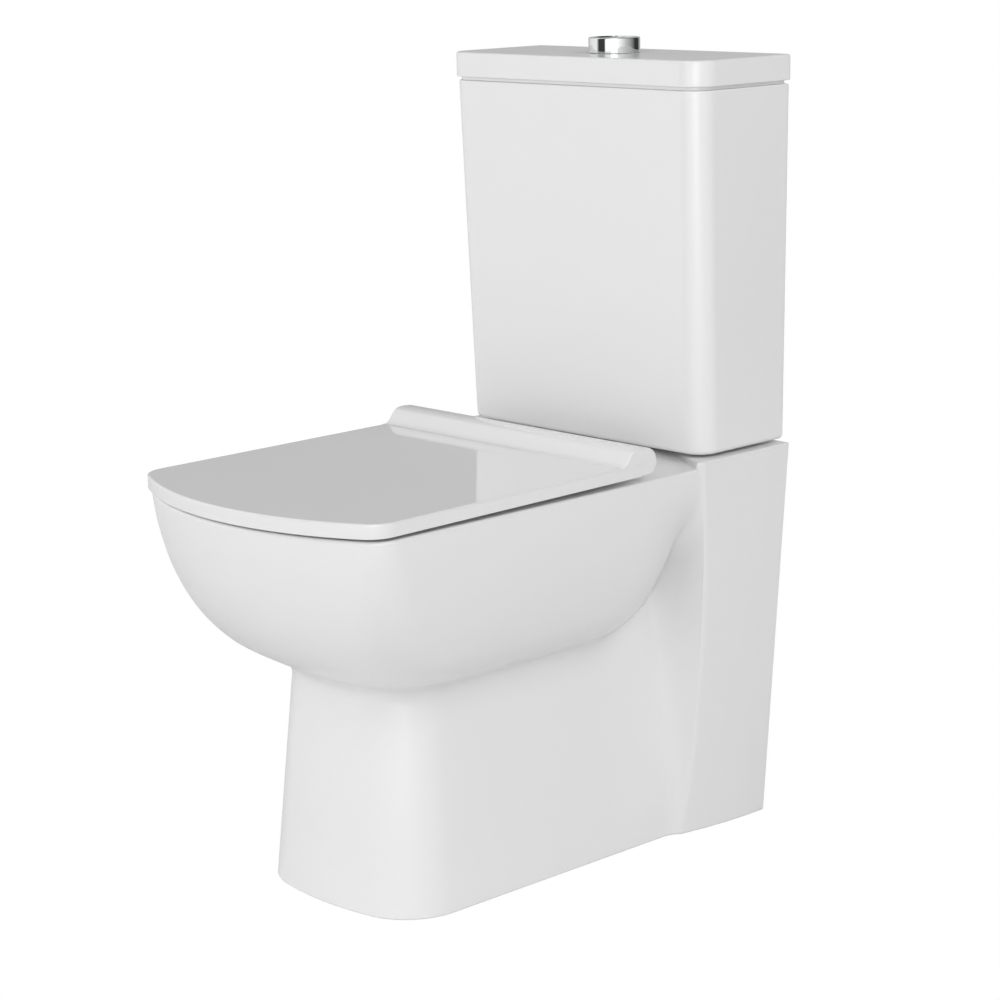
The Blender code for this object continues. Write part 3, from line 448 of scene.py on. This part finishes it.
def curve_row(table, z):
    """Row of a table of levels at the height z, on a smooth curve through the rows."""
    z = min(max(z, table[0][0]), table[-1][0])
    last = len(table) - 1
    k = next(i for i in range(last) if z <= table[i + 1][0] + 1e-9)
    span = table[k + 1][0] - table[k][0]
    t = (z - table[k][0]) / span

    def slope(i, column):
        low, high = max(i - 1, 0), min(i + 1, last)
        return (table[high][column] - table[low][column]) / (table[high][0] - table[low][0])

    row = []
    for column in range(1, len(table[0])):
        a, b = table[k][column], table[k + 1][column]
        ma, mb = slope(k, column) * span, slope(k + 1, column) * span
        row.append((2 * t**3 - 3 * t**2 + 1) * a + (t**3 - 2 * t**2 + t) * ma
                   + (3 * t**2 - 2 * t**3) * b + (t**3 - t**2) * mb)
    return row


def curve_points(points, per_span=6):
    """Smooth closed curve through a ring of 2-D points."""
    out = []
    count = len(points)
    for i in range(count):
        p0, p1, p2, p3 = (Vector(points[(i + k - 1) % count]) for k in range(4))
        for step in range(per_span):
            t = step / per_span
            out.append(tuple(0.5 * (2 * p1 + (p2 - p0) * t + (2 * p0 - 5 * p1 + 4 * p2 - p3) * t**2
                                    + (3 * p1 - p0 - 3 * p2 + p3) * t**3)))
    return out


FRONT_POINTS = 16
CORNER_POINTS = 18


def d_front(half, front, corner, front_radius):
    """Right half of a D-shaped front: shallow arc, then a corner that ends square to the side."""
    centre = front - front_radius
    reach = math.sqrt((front_radius - corner) ** 2 - (half - corner) ** 2)
    turn = math.degrees(math.atan2(half - corner, reach))
    return (arc(0.0, centre, front_radius, 0.0, turn, FRONT_POINTS)[:-1]
            + arc(half - corner, centre + reach, corner, turn, 90.0, CORNER_POINTS))


def d_outline(half, front, corner, rear, rear_corner, front_radius):
    """Whole D shape: the arced front, straight sides and two small rear corners."""
    right = d_front(half, front, corner, front_radius)
    right += arc(half - rear_corner, rear + rear_corner, rear_corner, 90.0, 180.0, 6)
    return mirrored(right)


def rounded_box(half, depth, corner, back, back_corner):
    """Box outline with its back near the wall and larger corners at the front."""
    right = [(0.0, depth)]
    right += arc(half - corner, depth - corner, corner, 0.0, 90.0, CORNER_POINTS)
    right += arc(half - back_corner, back + back_corner, back_corner, 90.0, 180.0, 5)
    return mirrored(right)


def superellipse(half, front, rear, power, count=72):
    """Rounded opening, squarer as the power grows from 2."""
    middle, reach = (front + rear) / 2, (front - rear) / 2
    points = []
    for i in range(count):
        s, c = math.sin(2 * math.pi * i / count), math.cos(2 * math.pi * i / count)
        points.append((half * math.copysign(abs(s) ** (2 / power), s),
                       middle + reach * math.copysign(abs(c) ** (2 / power), c)))
    return points


def rounding(radius, steps=5):
    """(inset, rise) pairs of a quarter round that turns from a wall onto a top."""
    turns = [math.radians(90 * i / steps) for i in range(steps + 1)]
    return [(radius * (1 - math.cos(a)), radius * math.sin(a)) for a in turns]


# ---- pan ----
PLATEAU_Z = 0.4138
CASTING = 0.012              # wall thickness of the pan
SHELF_UNDER_Z = 0.388
VALVE_D = 0.072
COUPLING_X = 0.080
FILL_X, FILL_D = -0.130, 0.065
HINGE_X, HINGE_D, HINGE_Z = 0.0775, 0.214, 0.427
FRONT_RADIUS = 0.330

# The one casting stands for these four CAD solids.
PAN_NODES = ["pan", "pan_bowl", "pan_trapway", "pan_flush_duct"]

# Bowl and pedestal: height, half width, front distance, corner radius.
PAN_LEVELS = [
    (0.000, 0.1185, 0.5070, 0.066),
    (0.110, 0.1080, 0.4975, 0.062),
    (0.205, 0.0995, 0.4890, 0.058),
    (0.221, 0.0990, 0.4885, 0.058),
    (0.230, 0.1045, 0.4955, 0.060),
    (0.241, 0.1220, 0.5165, 0.066),
    (0.259, 0.1420, 0.5460, 0.071),
    (0.290, 0.1568, 0.5755, 0.067),
    (0.330, 0.1672, 0.5975, 0.055),
    (0.375, 0.1733, 0.6110, 0.040),
    (0.414, 0.1753, 0.6170, 0.032),
]

# Inside of the bowl: height, half width, front and rear distance, squareness.
BOWL_LEVELS = [
    (0.070, 0.026, 0.392, 0.348, 2.0),
    (0.086, 0.041, 0.406, 0.334, 2.0),
    (0.150, 0.048, 0.422, 0.322, 2.2),
    (0.220, 0.066, 0.462, 0.292, 2.4),
    (0.290, 0.108, 0.536, 0.262, 2.8),
    (0.350, 0.134, 0.580, 0.247, 3.0),
    (0.376, 0.136, 0.584, 0.246, 3.0),
]
BOWL_LOOPS = 34
BOWL_FLOOR_Z = BOWL_LEVELS[0][0]
BOWL_TOP_Z, BOWL_TOP_HALF, BOWL_TOP_FRONT, BOWL_TOP_REAR, RIM_SQUARENESS = BOWL_LEVELS[-1]
RIM_HALF, RIM_FRONT, RIM_REAR = 0.118, 0.566, 0.264
RIM_LIP_ROUND = 0.006
RIM_ROUND = 0.0034
SHELF_ROUND = 0.0012
CUT_TOP_Z = 0.430            # cuts into the pan's top start clear of it, at this height

# Centre line of the trap from the sump to the outlet: distance from the wall, height.
TRAP_PATH = [
    (0.375, 0.106), (0.330, 0.106), (0.288, 0.138), (0.248, 0.200),
    (0.205, 0.232), (0.160, 0.222), (0.120, 0.190), (0.090, 0.190), (0.060, 0.190),
]
TRAP_BORE = 0.038
TRAP_OUTER = 0.0475
BORE_START = (0.385, 0.112)
BORE_END = (0.030, 0.190)

# Heights at which the inside of the pedestal is drawn, closest where the bowl swells.
HOLLOW_HEIGHTS = [-0.02, 0.06, 0.12, 0.18, 0.205, 0.222, 0.232, 0.247, 0.262, 0.290,
                  0.310, 0.330, 0.360, SHELF_UNDER_Z]
HOLLOW_PAST_BACK = 0.03

COUPLING_HOLE = 0.006
HINGE_HOLE = 0.007
FILL_HOLE = 0.023
HOLE_FOOT_Z = 0.37
INLET_BORE, INLET_RECESS = 0.030, 0.051
INLET_RECESS_Z = 0.392


def rim_height(d):
    """The rim rises slightly towards the front."""
    return 0.4065 + 0.0020 * (d - 0.20) / 0.40


UNDERSIDE_START_D, UNDERSIDE_RUN, UNDERSIDE_LIFT = 0.215, 0.106, 0.128


def underside_rise(d, z):
    """How far the bowl's underside lifts as it runs back into the rear column."""
    near = max(0.0, UNDERSIDE_START_D - d) / UNDERSIDE_RUN
    t = min(1.0, max(0.0, (0.400 - z) / 0.070))
    return UNDERSIDE_LIFT * near ** 2 * t * t * (3 - 2 * t)


def column_half(z, d):
    """Half width of the rear column, wider towards the shelf and the wall."""
    upward = z / PLATEAU_Z
    return 0.1463 + 0.0327 * upward - 0.0128 * (1.0 - upward) * (d / 0.120) ** 2


def column_front(z):
    """Distance from the wall to the column's front edge, which bows out at foot and head."""
    foot = 0.008 * max(0.0, 1 - z / 0.1) ** 2
    head = 0.023 * max(0.0, z / PLATEAU_Z - 0.45) ** 2 / 0.3
    return 0.112 + foot + head


SIDE_STEPS = 22
FLARE_STEPS = 9
FLARE_START_D = 0.138
FOOT_LIP = 0.007
BOWL_COUNT = FRONT_POINTS - 1 + CORNER_POINTS + SIDE_STEPS    # points on the bowl and pedestal


COLUMN_SIDE = (0.085, 0.055, 0.025, 0.0)


def pan_outline(z, inset=0.0):
    """Right half of the pan's outline: front, side, the flare onto the column, its flat side."""
    half, front, corner = curve_row(PAN_LEVELS, z)
    right = d_front(half - inset, front - inset, corner - inset, FRONT_RADIUS - inset)
    edge = column_front(z)
    side_start, side_end = right[-1][1], max(FLARE_START_D, edge + 0.0055)
    lip = FOOT_LIP * max(0.0, 1.0 - z / 0.3)
    for step in range(1, SIDE_STEPS + 1):
        t = step / SIDE_STEPS
        d = side_start + (side_end - side_start) * t
        local = curve_row(PAN_LEVELS, z - underside_rise(d, z))[0]
        right.append((local + lip * t - inset, d))
    start = right[-1]
    end = (column_half(z, edge) - 0.0015 - inset, edge + 0.0015 - inset)
    bend = (start[0] + 0.12 * (end[0] - start[0]), start[1] + 0.70 * (end[1] - start[1]))
    for step in range(1, FLARE_STEPS + 1):
        t = step / FLARE_STEPS
        right.append(tuple((1 - t) ** 2 * start[k] + 2 * t * (1 - t) * bend[k] + t * t * end[k]
                           for k in range(2)))
    for d in (edge - 0.0010, edge - 0.0035, *COLUMN_SIDE):
        back = d - inset if d > 0.08 else d
        right.append((column_half(z, d) - inset, back))
    return right


def pan_loop(z, inset=0.0, back=0.0):
    """Whole outline at the height z, its back face moved past the wall by back."""
    right = [(x, d if d > 0.0001 else -back) for x, d in pan_outline(max(z, 0.0), inset)]
    return [place(x, d, z) for x, d in mirrored(right)]


FOOT_CHAMFER = 0.0012


def pan_body():
    """Outside of the casting, up to the rounded rim and to the square-edged cistern shelf."""
    heights = [0.0, 0.0015]
    heights += [0.020 + 0.020 * i for i in range(9)]
    # The outlines are closest where the bowl swells out of the pedestal.
    heights += [0.190, 0.198, 0.206] + [0.212 + 0.003 * i for i in range(20)]
    heights += [0.276 + 0.008 * i for i in range(15)] + [0.396]
    loops = [pan_loop(z, FOOT_CHAMFER if z == 0.0 else 0.0) for z in heights]
    loops += [rim_loop(step) for step in range(6)]
    return loft("pan_casting", loops)


def rim_loop(step):
    """One turn of the rim's edge: a soft round on the bowl, a tight one on the shelf."""
    soft, tight = rounding(RIM_ROUND)[step], rounding(SHELF_ROUND)[step]
    right = []
    top = pan_outline(PLATEAU_Z)
    for i, (x, d) in enumerate(pan_outline(0.405)):
        if i < BOWL_COUNT:
            away = Vector((x, d - min(d, 0.45)))
            away = away.normalized() if away.length > 1e-6 else Vector((0.0, 1.0))
            z = rim_height(d) - RIM_ROUND + soft[1]
            right.append((max(0.0, x - away.x * soft[0]), d - away.y * soft[0], z))
        else:
            x, d = top[i]
            z = PLATEAU_Z - SHELF_ROUND + tight[1]
            pull = tight[0] if i > BOWL_COUNT + FLARE_STEPS - 3 else 0.0
            right.append((x - pull, d, z))
    left = [(-x, d, z) for x, d, z in reversed(right) if x > 1e-6]
    return [place(*p) for p in right + left]


def bowl_inside(name, grow=0.0, with_rim=True):
    """Space inside the bowl, or with grow the outer face of its wall."""
    loops = []
    for i in range(BOWL_LOOPS):
        z = BOWL_FLOOR_Z + (BOWL_TOP_Z - BOWL_FLOOR_Z) * i / (BOWL_LOOPS - 1)
        half, front, rear, power = curve_row(BOWL_LEVELS, z)
        loops.append([place(x, d, z - grow) for x, d in
                      superellipse(half + grow, front + grow, rear - grow, power)])
    if with_rim:
        for t in (0.0, 0.35, 0.7, 1.0):
            share = 0.5 - 0.5 * math.cos(math.pi * t)
            half = BOWL_TOP_HALF + (RIM_HALF - BOWL_TOP_HALF) * share
            front = BOWL_TOP_FRONT + (RIM_FRONT - BOWL_TOP_FRONT) * share
            rear = BOWL_TOP_REAR + (RIM_REAR - BOWL_TOP_REAR) * share
            loops.append([place(x, d, BOWL_TOP_Z + 0.003 + 0.010 * t)
                          for x, d in superellipse(half, front, rear, RIM_SQUARENESS)])
        for out, rise in rounding(RIM_LIP_ROUND, 6):
            ring = superellipse(RIM_HALF + out, RIM_FRONT + out, RIM_REAR - out, RIM_SQUARENESS)
            loops.append([place(x, d, rim_height(d) - RIM_LIP_ROUND + rise) for x, d in ring])
        ring = superellipse(RIM_HALF + RIM_LIP_ROUND, RIM_FRONT + RIM_LIP_ROUND,
                            RIM_REAR - RIM_LIP_ROUND, RIM_SQUARENESS)
        loops.append([place(x, d, CUT_TOP_Z) for x, d in ring])
    return loft(name, loops)


def inlet_duct(name, radius, half, roof, top, floor, rear, front):
    """Round shaft under the cistern joined to a box channel that runs forward to the bowl."""
    shaft = rod(name, (0, VALVE_D, floor), (0, VALVE_D, top), radius)
    return join(shaft, block(name + "_channel", (-half, rear, floor), (half, front, roof)), "UNION")


def smooth_path(path, per_span=6):
    """Smooth open run through (d, z) points, as (x, d, z) points on the centre line."""
    table = [(float(i), d, z) for i, (d, z) in enumerate(path)]
    count = (len(path) - 1) * per_span
    return [(0.0, *curve_row(table, i / per_span)) for i in range(count + 1)]


def drill(target, x, d, low, high, radius, steps=48):
    """Upright round hole through a piece."""
    return join(target, rod("hole", (x, d, low), (x, d, high), radius, steps))


def make_pan():
    """The casting, hollowed round the walls of its bowl, trap and flush duct, then bored."""
    pan = pan_body()
    hollow = loft("hollow", [pan_loop(z, CASTING, HOLLOW_PAST_BACK) for z in HOLLOW_HEIGHTS])
    join(hollow, bowl_inside("bowl_wall", CASTING, False))
    join(hollow, swept("trap_wall", smooth_path(TRAP_PATH), TRAP_OUTER))
    join(hollow, inlet_duct("duct_wall", 0.064, half=0.044, roof=0.395, top=0.40, floor=0.330,
                            rear=0.050, front=0.262))
    join(pan, hollow)
    join(pan, bowl_inside("bowl"))
    bore = smooth_path([BORE_START] + TRAP_PATH[1:] + [BORE_END])
    join(pan, swept("trap_bore", bore, TRAP_BORE))
    join(pan, inlet_duct("duct_bore", INLET_BORE, half=0.028, roof=0.384, top=0.45, floor=0.344,
                         rear=VALVE_D, front=0.275))
    drill(pan, 0, VALVE_D, INLET_RECESS_Z, 0.45, INLET_RECESS)
    for side in (-1, 1):
        drill(pan, side * COUPLING_X, VALVE_D, HOLE_FOOT_Z, CUT_TOP_Z, COUPLING_HOLE)
        drill(pan, side * HINGE_X, HINGE_D, HOLE_FOOT_Z, CUT_TOP_Z, HINGE_HOLE)
    drill(pan, FILL_X, FILL_D, HOLE_FOOT_Z, CUT_TOP_Z, FILL_HOLE)
    dress(pan, GLAZE, "pan", PAN_NODES)


# ---- cistern and its lid ----
CISTERN_FLOOR_Z = 0.4170
CISTERN_TOP_Z = 0.7865
CISTERN_WALL = 0.008
COVER_EDGE_Z = 0.7902
COVER_TOP_Z = 0.8163
COVER_HALF = 0.180
COVER_DEPTH = 0.1443
CISTERN_FOOT_ROUND = 0.0055
CISTERN_TOP_ROUND = 0.0018
COVER_GROOVE = 0.0052        # how far the cover's seat stands in from its edge
COVER_EDGE_ROUND = 0.0014
COVER_TOP_ROUND = 0.0026
COVER_WALL = 0.016


def cistern_loop(z, inset):
    """Outline of the cistern, which widens and deepens towards its top."""
    upward = (z - CISTERN_FLOOR_Z) / (CISTERN_TOP_Z - CISTERN_FLOOR_Z)
    half, depth = 0.172 + 0.0055 * upward, 0.1296 + 0.0125 * upward
    ring = rounded_box(half - inset, depth - inset, 0.025 - min(inset, 0.010), inset,
                       max(0.0015, 0.004 - inset))
    return [place(x, d, z) for x, d in ring]


def make_cistern():
    """Tapered tank, open at the top, with holes in its floor for the valves and bolts."""
    loops = [cistern_loop(CISTERN_FLOOR_Z + CISTERN_FOOT_ROUND - rise, inset)
             for inset, rise in reversed(rounding(CISTERN_FOOT_ROUND, 6))]
    loops += [cistern_loop(z, 0.0) for z in (0.44, 0.52, 0.60, 0.68, 0.76)]
    loops += [cistern_loop(CISTERN_TOP_Z - CISTERN_TOP_ROUND + rise, inset)
              for inset, rise in rounding(CISTERN_TOP_ROUND, 4)]
    body = loft("cistern_casting", loops)
    inner = [(CISTERN_FLOOR_Z + 0.012, CISTERN_WALL + 0.006),
             (CISTERN_FLOOR_Z + 0.0145, CISTERN_WALL + 0.0018),
             (CISTERN_FLOOR_Z + 0.020, CISTERN_WALL), (CISTERN_TOP_Z + 0.02, CISTERN_WALL)]
    join(body, loft("inside", [cistern_loop(z, inset) for z, inset in inner]))
    holes = [(0.0, VALVE_D, 0.030), (-COUPLING_X, VALVE_D, COUPLING_HOLE),
             (COUPLING_X, VALVE_D, COUPLING_HOLE), (FILL_X, FILL_D, 0.011)]
    for x, d, radius in holes:
        drill(body, x, d, 0.40, 0.45, radius)
    dress(body, GLAZE, "cistern_body")


def cover_loop(z, inset):
    """Outline of the cistern lid."""
    ring = rounded_box(COVER_HALF - inset, COVER_DEPTH - inset, 0.027 - min(inset, 0.012), inset,
                       max(0.002, 0.005 - inset))
    return [place(x, d, z) for x, d in ring]


def make_cistern_lid():
    """Hollow cover that overhangs a narrow groove above the tank."""
    seat = CISTERN_TOP_Z + 0.0003
    loops = [cover_loop(seat, COVER_GROOVE), cover_loop(COVER_EDGE_Z - 0.0006, COVER_GROOVE),
             cover_loop(COVER_EDGE_Z - 0.0002, 0.0036)]
    loops += [cover_loop(COVER_EDGE_Z + COVER_EDGE_ROUND - rise, inset)
              for inset, rise in reversed(rounding(COVER_EDGE_ROUND, 4))]
    loops += [cover_loop(z, 0.0) for z in (0.797, 0.804, 0.811)]
    loops += [cover_loop(COVER_TOP_Z - COVER_TOP_ROUND + rise, inset)
              for inset, rise in rounding(COVER_TOP_ROUND, 6)]
    lid = loft("cistern_lid_casting", loops)
    join(lid, loft("inside", [cover_loop(z, inset) for z, inset in
                              ((seat - 0.02, COVER_WALL), (COVER_TOP_Z - 0.013, COVER_WALL),
                               (COVER_TOP_Z - 0.0105, COVER_WALL + 0.0025))]))
    drill(lid, 0, VALVE_D, 0.79, 0.83, 0.020)
    dress(lid, GLAZE, "cistern_lid")


# ---- seat, lid and hinges ----
SEAT_LID_TOP_Z = 0.4259
SEAT_LID_EDGE_Z = 0.4132
SEAT_LID_HALF = 0.1757
SEAT_LID_FRONT = 0.620
LID_SKIN_Z = SEAT_LID_TOP_Z - 0.0036
RING_TOP_Z = 0.4198
RING_BOTTOM_Z = 0.4123
RING_INSET = 0.0075          # how far the ring stays inside the lid's outline
RING_LOW_ROUND, RING_TOP_ROUND, RING_HOLE_ROUND = 0.0015, 0.0034, 0.0038
LID_LOW_ROUND, LID_TOP_ROUND = 0.0010, 0.0020
HUMP_END_ROUND = 0.0016
PIN_BORE, DAMPER_BORE = 0.0038, 0.0048

# Section of the raised hinge bar, and the pockets that the posts need in it: distance, height.
HUMP_PROFILE = [
    (0.2560, 0.4160), (0.2560, 0.4250), (0.2515, 0.4257), (0.2460, 0.4290), (0.2385, 0.4378),
    (0.2335, 0.4410), (0.2260, 0.4422), (0.2140, 0.4414), (0.2080, 0.4390), (0.2030, 0.4345),
    (0.2004, 0.4280), (0.2010, 0.4220), (0.2045, 0.4165), (0.2090, 0.4140), (0.2140, 0.4136),
]
POST_POCKET = [(0.2370, 0.400), (0.2370, 0.4310), (0.2290, 0.4385), (0.1900, 0.4385),
               (0.1900, 0.400)]
ARM_SLOT = [(0.2600, 0.400), (0.2600, LID_SKIN_Z), (0.2360, 0.4275), (0.2360, 0.400)]

# Arm that runs from the seat ring up to the hinge line: distance, height.
RING_ARM = [(0.2550, RING_BOTTOM_Z), (0.2550, RING_TOP_Z - 0.001), (0.2300, RING_TOP_Z - 0.001),
            (0.2200, 0.4330), (0.2120, 0.4335), (0.2070, 0.4300), (0.2060, 0.4240),
            (0.2100, 0.4190), (0.2160, 0.4175), (0.2260, RING_BOTTOM_Z)]


def lid_loop(z, inset, corner=0.030, rear=0.222):
    """Outline of the seat lid."""
    ring = d_outline(SEAT_LID_HALF - inset, SEAT_LID_FRONT - inset, corner - inset, rear, 0.002,
                     FRONT_RADIUS - inset)
    return [place(x, d, z) for x, d in ring]


def along_x(name, profile, low, high):
    """Solid with a (d, z) profile, drawn out along X."""
    return loft(name, [[place(x, d, z) for d, z in profile] for x in (low, high)])


def hinge_rod(name, start, end, radius):
    """Cylinder along the hinge line between two x values."""
    return rod(name, (start, HINGE_D, HINGE_Z), (end, HINGE_D, HINGE_Z), radius)


def hinge_hump():
    """Raised bar over the hinges: one smooth section, its two ends lightly rounded."""
    section = curve_points(HUMP_PROFILE)
    middle = Vector((0.2205, 0.4285))
    half, radius = SEAT_LID_HALF - 0.0001, HUMP_END_ROUND

    def end_loop(x, inset):
        shrink = 1.0 - inset / 0.014
        return [place(x, *(middle + (Vector(p) - middle) * shrink)) for p in section]

    loops = [end_loop(radius - rise - half, inset)
             for inset, rise in reversed(rounding(radius, 4))]
    loops += [[place(x, *p) for p in section] for x in (-0.12, -0.06, 0.0, 0.06, 0.12)]
    loops += [end_loop(half - radius + rise, inset) for inset, rise in rounding(radius, 4)]
    return loft("hump", loops)


def lip_drop(d):
    """How much deeper the lid's edge is along its front than along its sides."""
    t = min(1.0, max(0.0, (d - 0.48) / 0.12))
    return 0.0020 * t * t * (3 - 2 * t)


def make_seat_lid():
    """Thin wrap-over lid joined to its hinge bar, hollow below, with pockets for the hinges."""
    low, top = LID_LOW_ROUND, LID_TOP_ROUND
    loops = [lid_loop(SEAT_LID_EDGE_Z + low - rise, inset)
             for inset, rise in reversed(rounding(low, 3))]
    for loop in loops:
        for point in loop:
            point.z -= lip_drop(WALL_Y - point.y)
    loops += [lid_loop(SEAT_LID_TOP_Z - top + rise, inset) for inset, rise in rounding(top, 6)]
    lid = loft("seat_lid_shell", loops)
    join(lid, hinge_hump(), "UNION")
    under = [lid_loop(z, 0.005, 0.030, 0.2445) for z in (0.40, LID_SKIN_Z)]
    join(lid, loft("under", under))
    for side in (-1, 1):
        join(lid, along_x("pocket", POST_POCKET, *sorted((side * 0.037, side * 0.095))))
        join(lid, hinge_rod("bore", side * 0.090, side * 0.1083, DAMPER_BORE))
        join(lid, along_x("slot", ARM_SLOT, *sorted((side * 0.038, side * 0.062))))
    dress(lid, SEAT_GLOSS, "seat_lid", sharp=28)


def ring_loop(z, inset):
    """Outer outline of the seat ring, which keeps inside the lid."""
    gap = RING_INSET
    ring = d_outline(SEAT_LID_HALF - gap - inset, SEAT_LID_FRONT - gap - inset, 0.024 - inset,
                     0.2490 + inset, 0.010, FRONT_RADIUS - gap - inset)
    return [place(x, d, z) for x, d in ring]


def ring_hole():
    """Cutter for the seat's opening, rounded at its upper edge."""
    steps = [(0.400, 0.002), (RING_BOTTOM_Z, 0.002), (RING_BOTTOM_Z + 0.002, 0.0)]
    steps += [(RING_TOP_Z - RING_HOLE_ROUND + rise, inset)
              for inset, rise in rounding(RING_HOLE_ROUND, 6)]
    steps += [(CUT_TOP_Z, RING_HOLE_ROUND)]
    return loft("opening", [[place(x, d, z) for x, d in
                             superellipse(0.105 + grow, 0.545 + grow, 0.282 - grow, 2.7, 96)]
                            for z, grow in steps])


def make_seat_ring():
    """Flat seat with its opening and the two arms that reach the hinge line."""
    loops = [ring_loop(RING_BOTTOM_Z + RING_LOW_ROUND - rise, inset)
             for inset, rise in reversed(rounding(RING_LOW_ROUND, 3))]
    loops += [ring_loop(RING_TOP_Z - RING_TOP_ROUND + rise, inset)
              for inset, rise in rounding(RING_TOP_ROUND, 6)]
    ring = loft("seat_ring_shell", loops)
    join(ring, ring_hole())
    for side in (-1, 1):
        join(ring, along_x("arm", RING_ARM, *sorted((side * 0.0405, side * 0.0585))), "UNION")
        join(ring, hinge_rod("bore", side * 0.035, side * 0.065, PIN_BORE))
    dress(ring, SEAT_GLOSS, "seat_ring", sharp=28)


# ---- dual flush button ----
BUTTON_TOP_Z = 0.8325
STEM_X, STEM_SIDE = 0.009, 0.0072
STEM_RADIUS, STEM_HOLE = 0.0026, 0.0030
SPLIT_X = -0.0040
SPLIT_GAP = 0.0006
COLLAR_RADIUS, COLLAR_BORE, THREAD_RADIUS = 0.0270, 0.0232, 0.0190
THREAD_TURNS, THREAD_PITCH = 12, 0.0025
BUTTON_RADIUS = 0.0228
SPRING_FOOT_Z = 0.7998
SPRING_RADIUS, SPRING_WIRE, SPRING_TURNS = 0.0040, 0.00045, 6


def stem_place(sign):
    """Where a button's stem stands, as (x, d): +1 for the full flush and -1 for the half."""
    return sign * STEM_X, VALVE_D + sign * STEM_SIDE


def make_collar():
    """Raised ring round the button, with the threaded neck that passes through the cover."""
    base = COVER_TOP_Z + 0.0003
    rim = [(COLLAR_RADIUS - out, BUTTON_TOP_Z - 0.0012 + up) for out, up in rounding(0.0012, 5)]
    profile = [(COLLAR_BORE, base + 0.0015), (COLLAR_BORE, BUTTON_TOP_Z - 0.0008),
               (0.0240, BUTTON_TOP_Z)]
    profile += list(reversed(rim))
    profile += [(COLLAR_RADIUS, base + 0.0006), (0.0264, base), (THREAD_RADIUS, base)]
    for turn in range(THREAD_TURNS):
        z = base - 0.006 - turn * THREAD_PITCH
        profile += [(THREAD_RADIUS, z), (0.0186, z - 0.0008), (THREAD_RADIUS, z - 0.0016)]
    profile += [(THREAD_RADIUS, 0.7780), (0.0165, 0.7780), (0.0165, 0.7960), (0.0000, 0.7960),
                (0.0000, 0.7990), (0.0165, 0.7990), (0.0165, base + 0.0015)]
    collar = turned("button_collar_chrome", profile, 0.0, VALVE_D)
    for sign in (1, -1):
        drill(collar, *stem_place(sign), 0.79, 0.81, STEM_HOLE, 32)
    dress(collar, CHROME, "button_collar")


def make_button_half(name, sign):
    """One half of the split button: a slightly dished top, rounded edges and a stem."""
    top, low, radius = BUTTON_TOP_Z - 0.0005, BUTTON_TOP_Z - 0.0070, BUTTON_RADIUS
    rim = [(radius - out, top - 0.0009 + up) for out, up in rounding(0.0009, 4)]
    profile = [(0.0, low), (radius, low)] + rim + [(0.0150, top - 0.0007), (0.0, top - 0.0010)]
    button = turned(name + "_flush_button_chrome", profile, 0.0, VALVE_D)
    bm = bmesh.new()
    bm.from_mesh(button.data)
    plane = (SPLIT_X + sign * SPLIT_GAP / 2, 0.0, 0.0)
    bmesh.ops.bisect_plane(bm, geom=bm.verts[:] + bm.edges[:] + bm.faces[:], plane_co=plane,
                           plane_no=(1.0, 0.0, 0.0), clear_inner=sign > 0, clear_outer=sign < 0)
    bmesh.ops.holes_fill(bm, edges=bm.edges, sides=0)
    bmesh.ops.recalc_face_normals(bm, faces=bm.faces)
    bm.to_mesh(button.data)
    bm.free()
    at = stem_place(sign)
    join(button, rod("stem", (*at, 0.7850), (*at, low + 0.002), STEM_RADIUS, 32), "UNION")
    dress(button, CHROME, name + "_flush_button", soften=0.0003)


def make_button_spring(name, sign):
    """Coil spring under one button half, drawn at its rest length."""
    low, high = SPRING_FOOT_Z, BUTTON_TOP_Z - 0.0078
    steps = SPRING_TURNS * 24
    centre = place(*stem_place(sign), 0.0)
    bm = bmesh.new()
    bmesh.ops.create_circle(bm, cap_ends=False, segments=8, radius=SPRING_WIRE)
    tip_up = Matrix.Rotation(math.pi / 2, 4, "X")
    start = centre + Vector((SPRING_RADIUS, 0.0, low))
    bmesh.ops.transform(bm, matrix=Matrix.Translation(start) @ tip_up, verts=bm.verts)
    bmesh.ops.spin(bm, geom=bm.verts[:] + bm.edges[:], cent=centre, axis=(0, 0, 1),
                   dvec=(0, 0, (high - low) / steps), angle=2 * math.pi * SPRING_TURNS,
                   steps=steps, use_merge=False)
    bmesh.ops.holes_fill(bm, edges=bm.edges, sides=0)
    bmesh.ops.recalc_face_normals(bm, faces=bm.faces)
    spring = new_object(name + "_button_spring_wire", bm)
    spring.data.materials.append(STEEL)
    spring.data.shade_smooth()
    node = name + "_button_spring"
    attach(spring, BODY_OF[node])
    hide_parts(node)
    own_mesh(spring)


# ---- fittings whose shape stays as drawn, with softened edges ----
def fitted_piece(node, material):
    """Welded copy of a fitting with its sharp corners eased."""
    source = frame["nodes"][node]
    bm = bmesh.new()
    bm.from_mesh(source.data)
    bmesh.ops.remove_doubles(bm, verts=bm.verts, dist=0.000002)
    bmesh.ops.dissolve_limit(bm, angle_limit=math.radians(0.5), verts=bm.verts, edges=bm.edges)
    piece = new_object(node + "_fitting", bm)
    return dress(piece, material, node, soften=0.00025)


make_pan()
make_cistern()
make_cistern_lid()
make_seat_lid()
make_seat_ring()
make_collar()
make_button_half("full", 1)
make_button_half("half", -1)
make_button_spring("full", 1)
make_button_spring("half", -1)

# Fittings whose finish differs from the rest of their material.
OWN_FINISH = {"hinge_post_left": SATIN_CHROME, "hinge_post_right": SATIN_CHROME}
MADE = {*PAN_NODES, "cistern_body", "cistern_lid", "seat_lid", "seat_ring", "button_collar",
        "full_flush_button", "half_flush_button", "full_button_spring", "half_button_spring"}
for fitting in sorted(frame["nodes"]):
    if fitting not in MADE:
        fitted_piece(fitting, OWN_FINISH.get(fitting, SLOT_FINISH[NODE_SLOT[fitting]]))
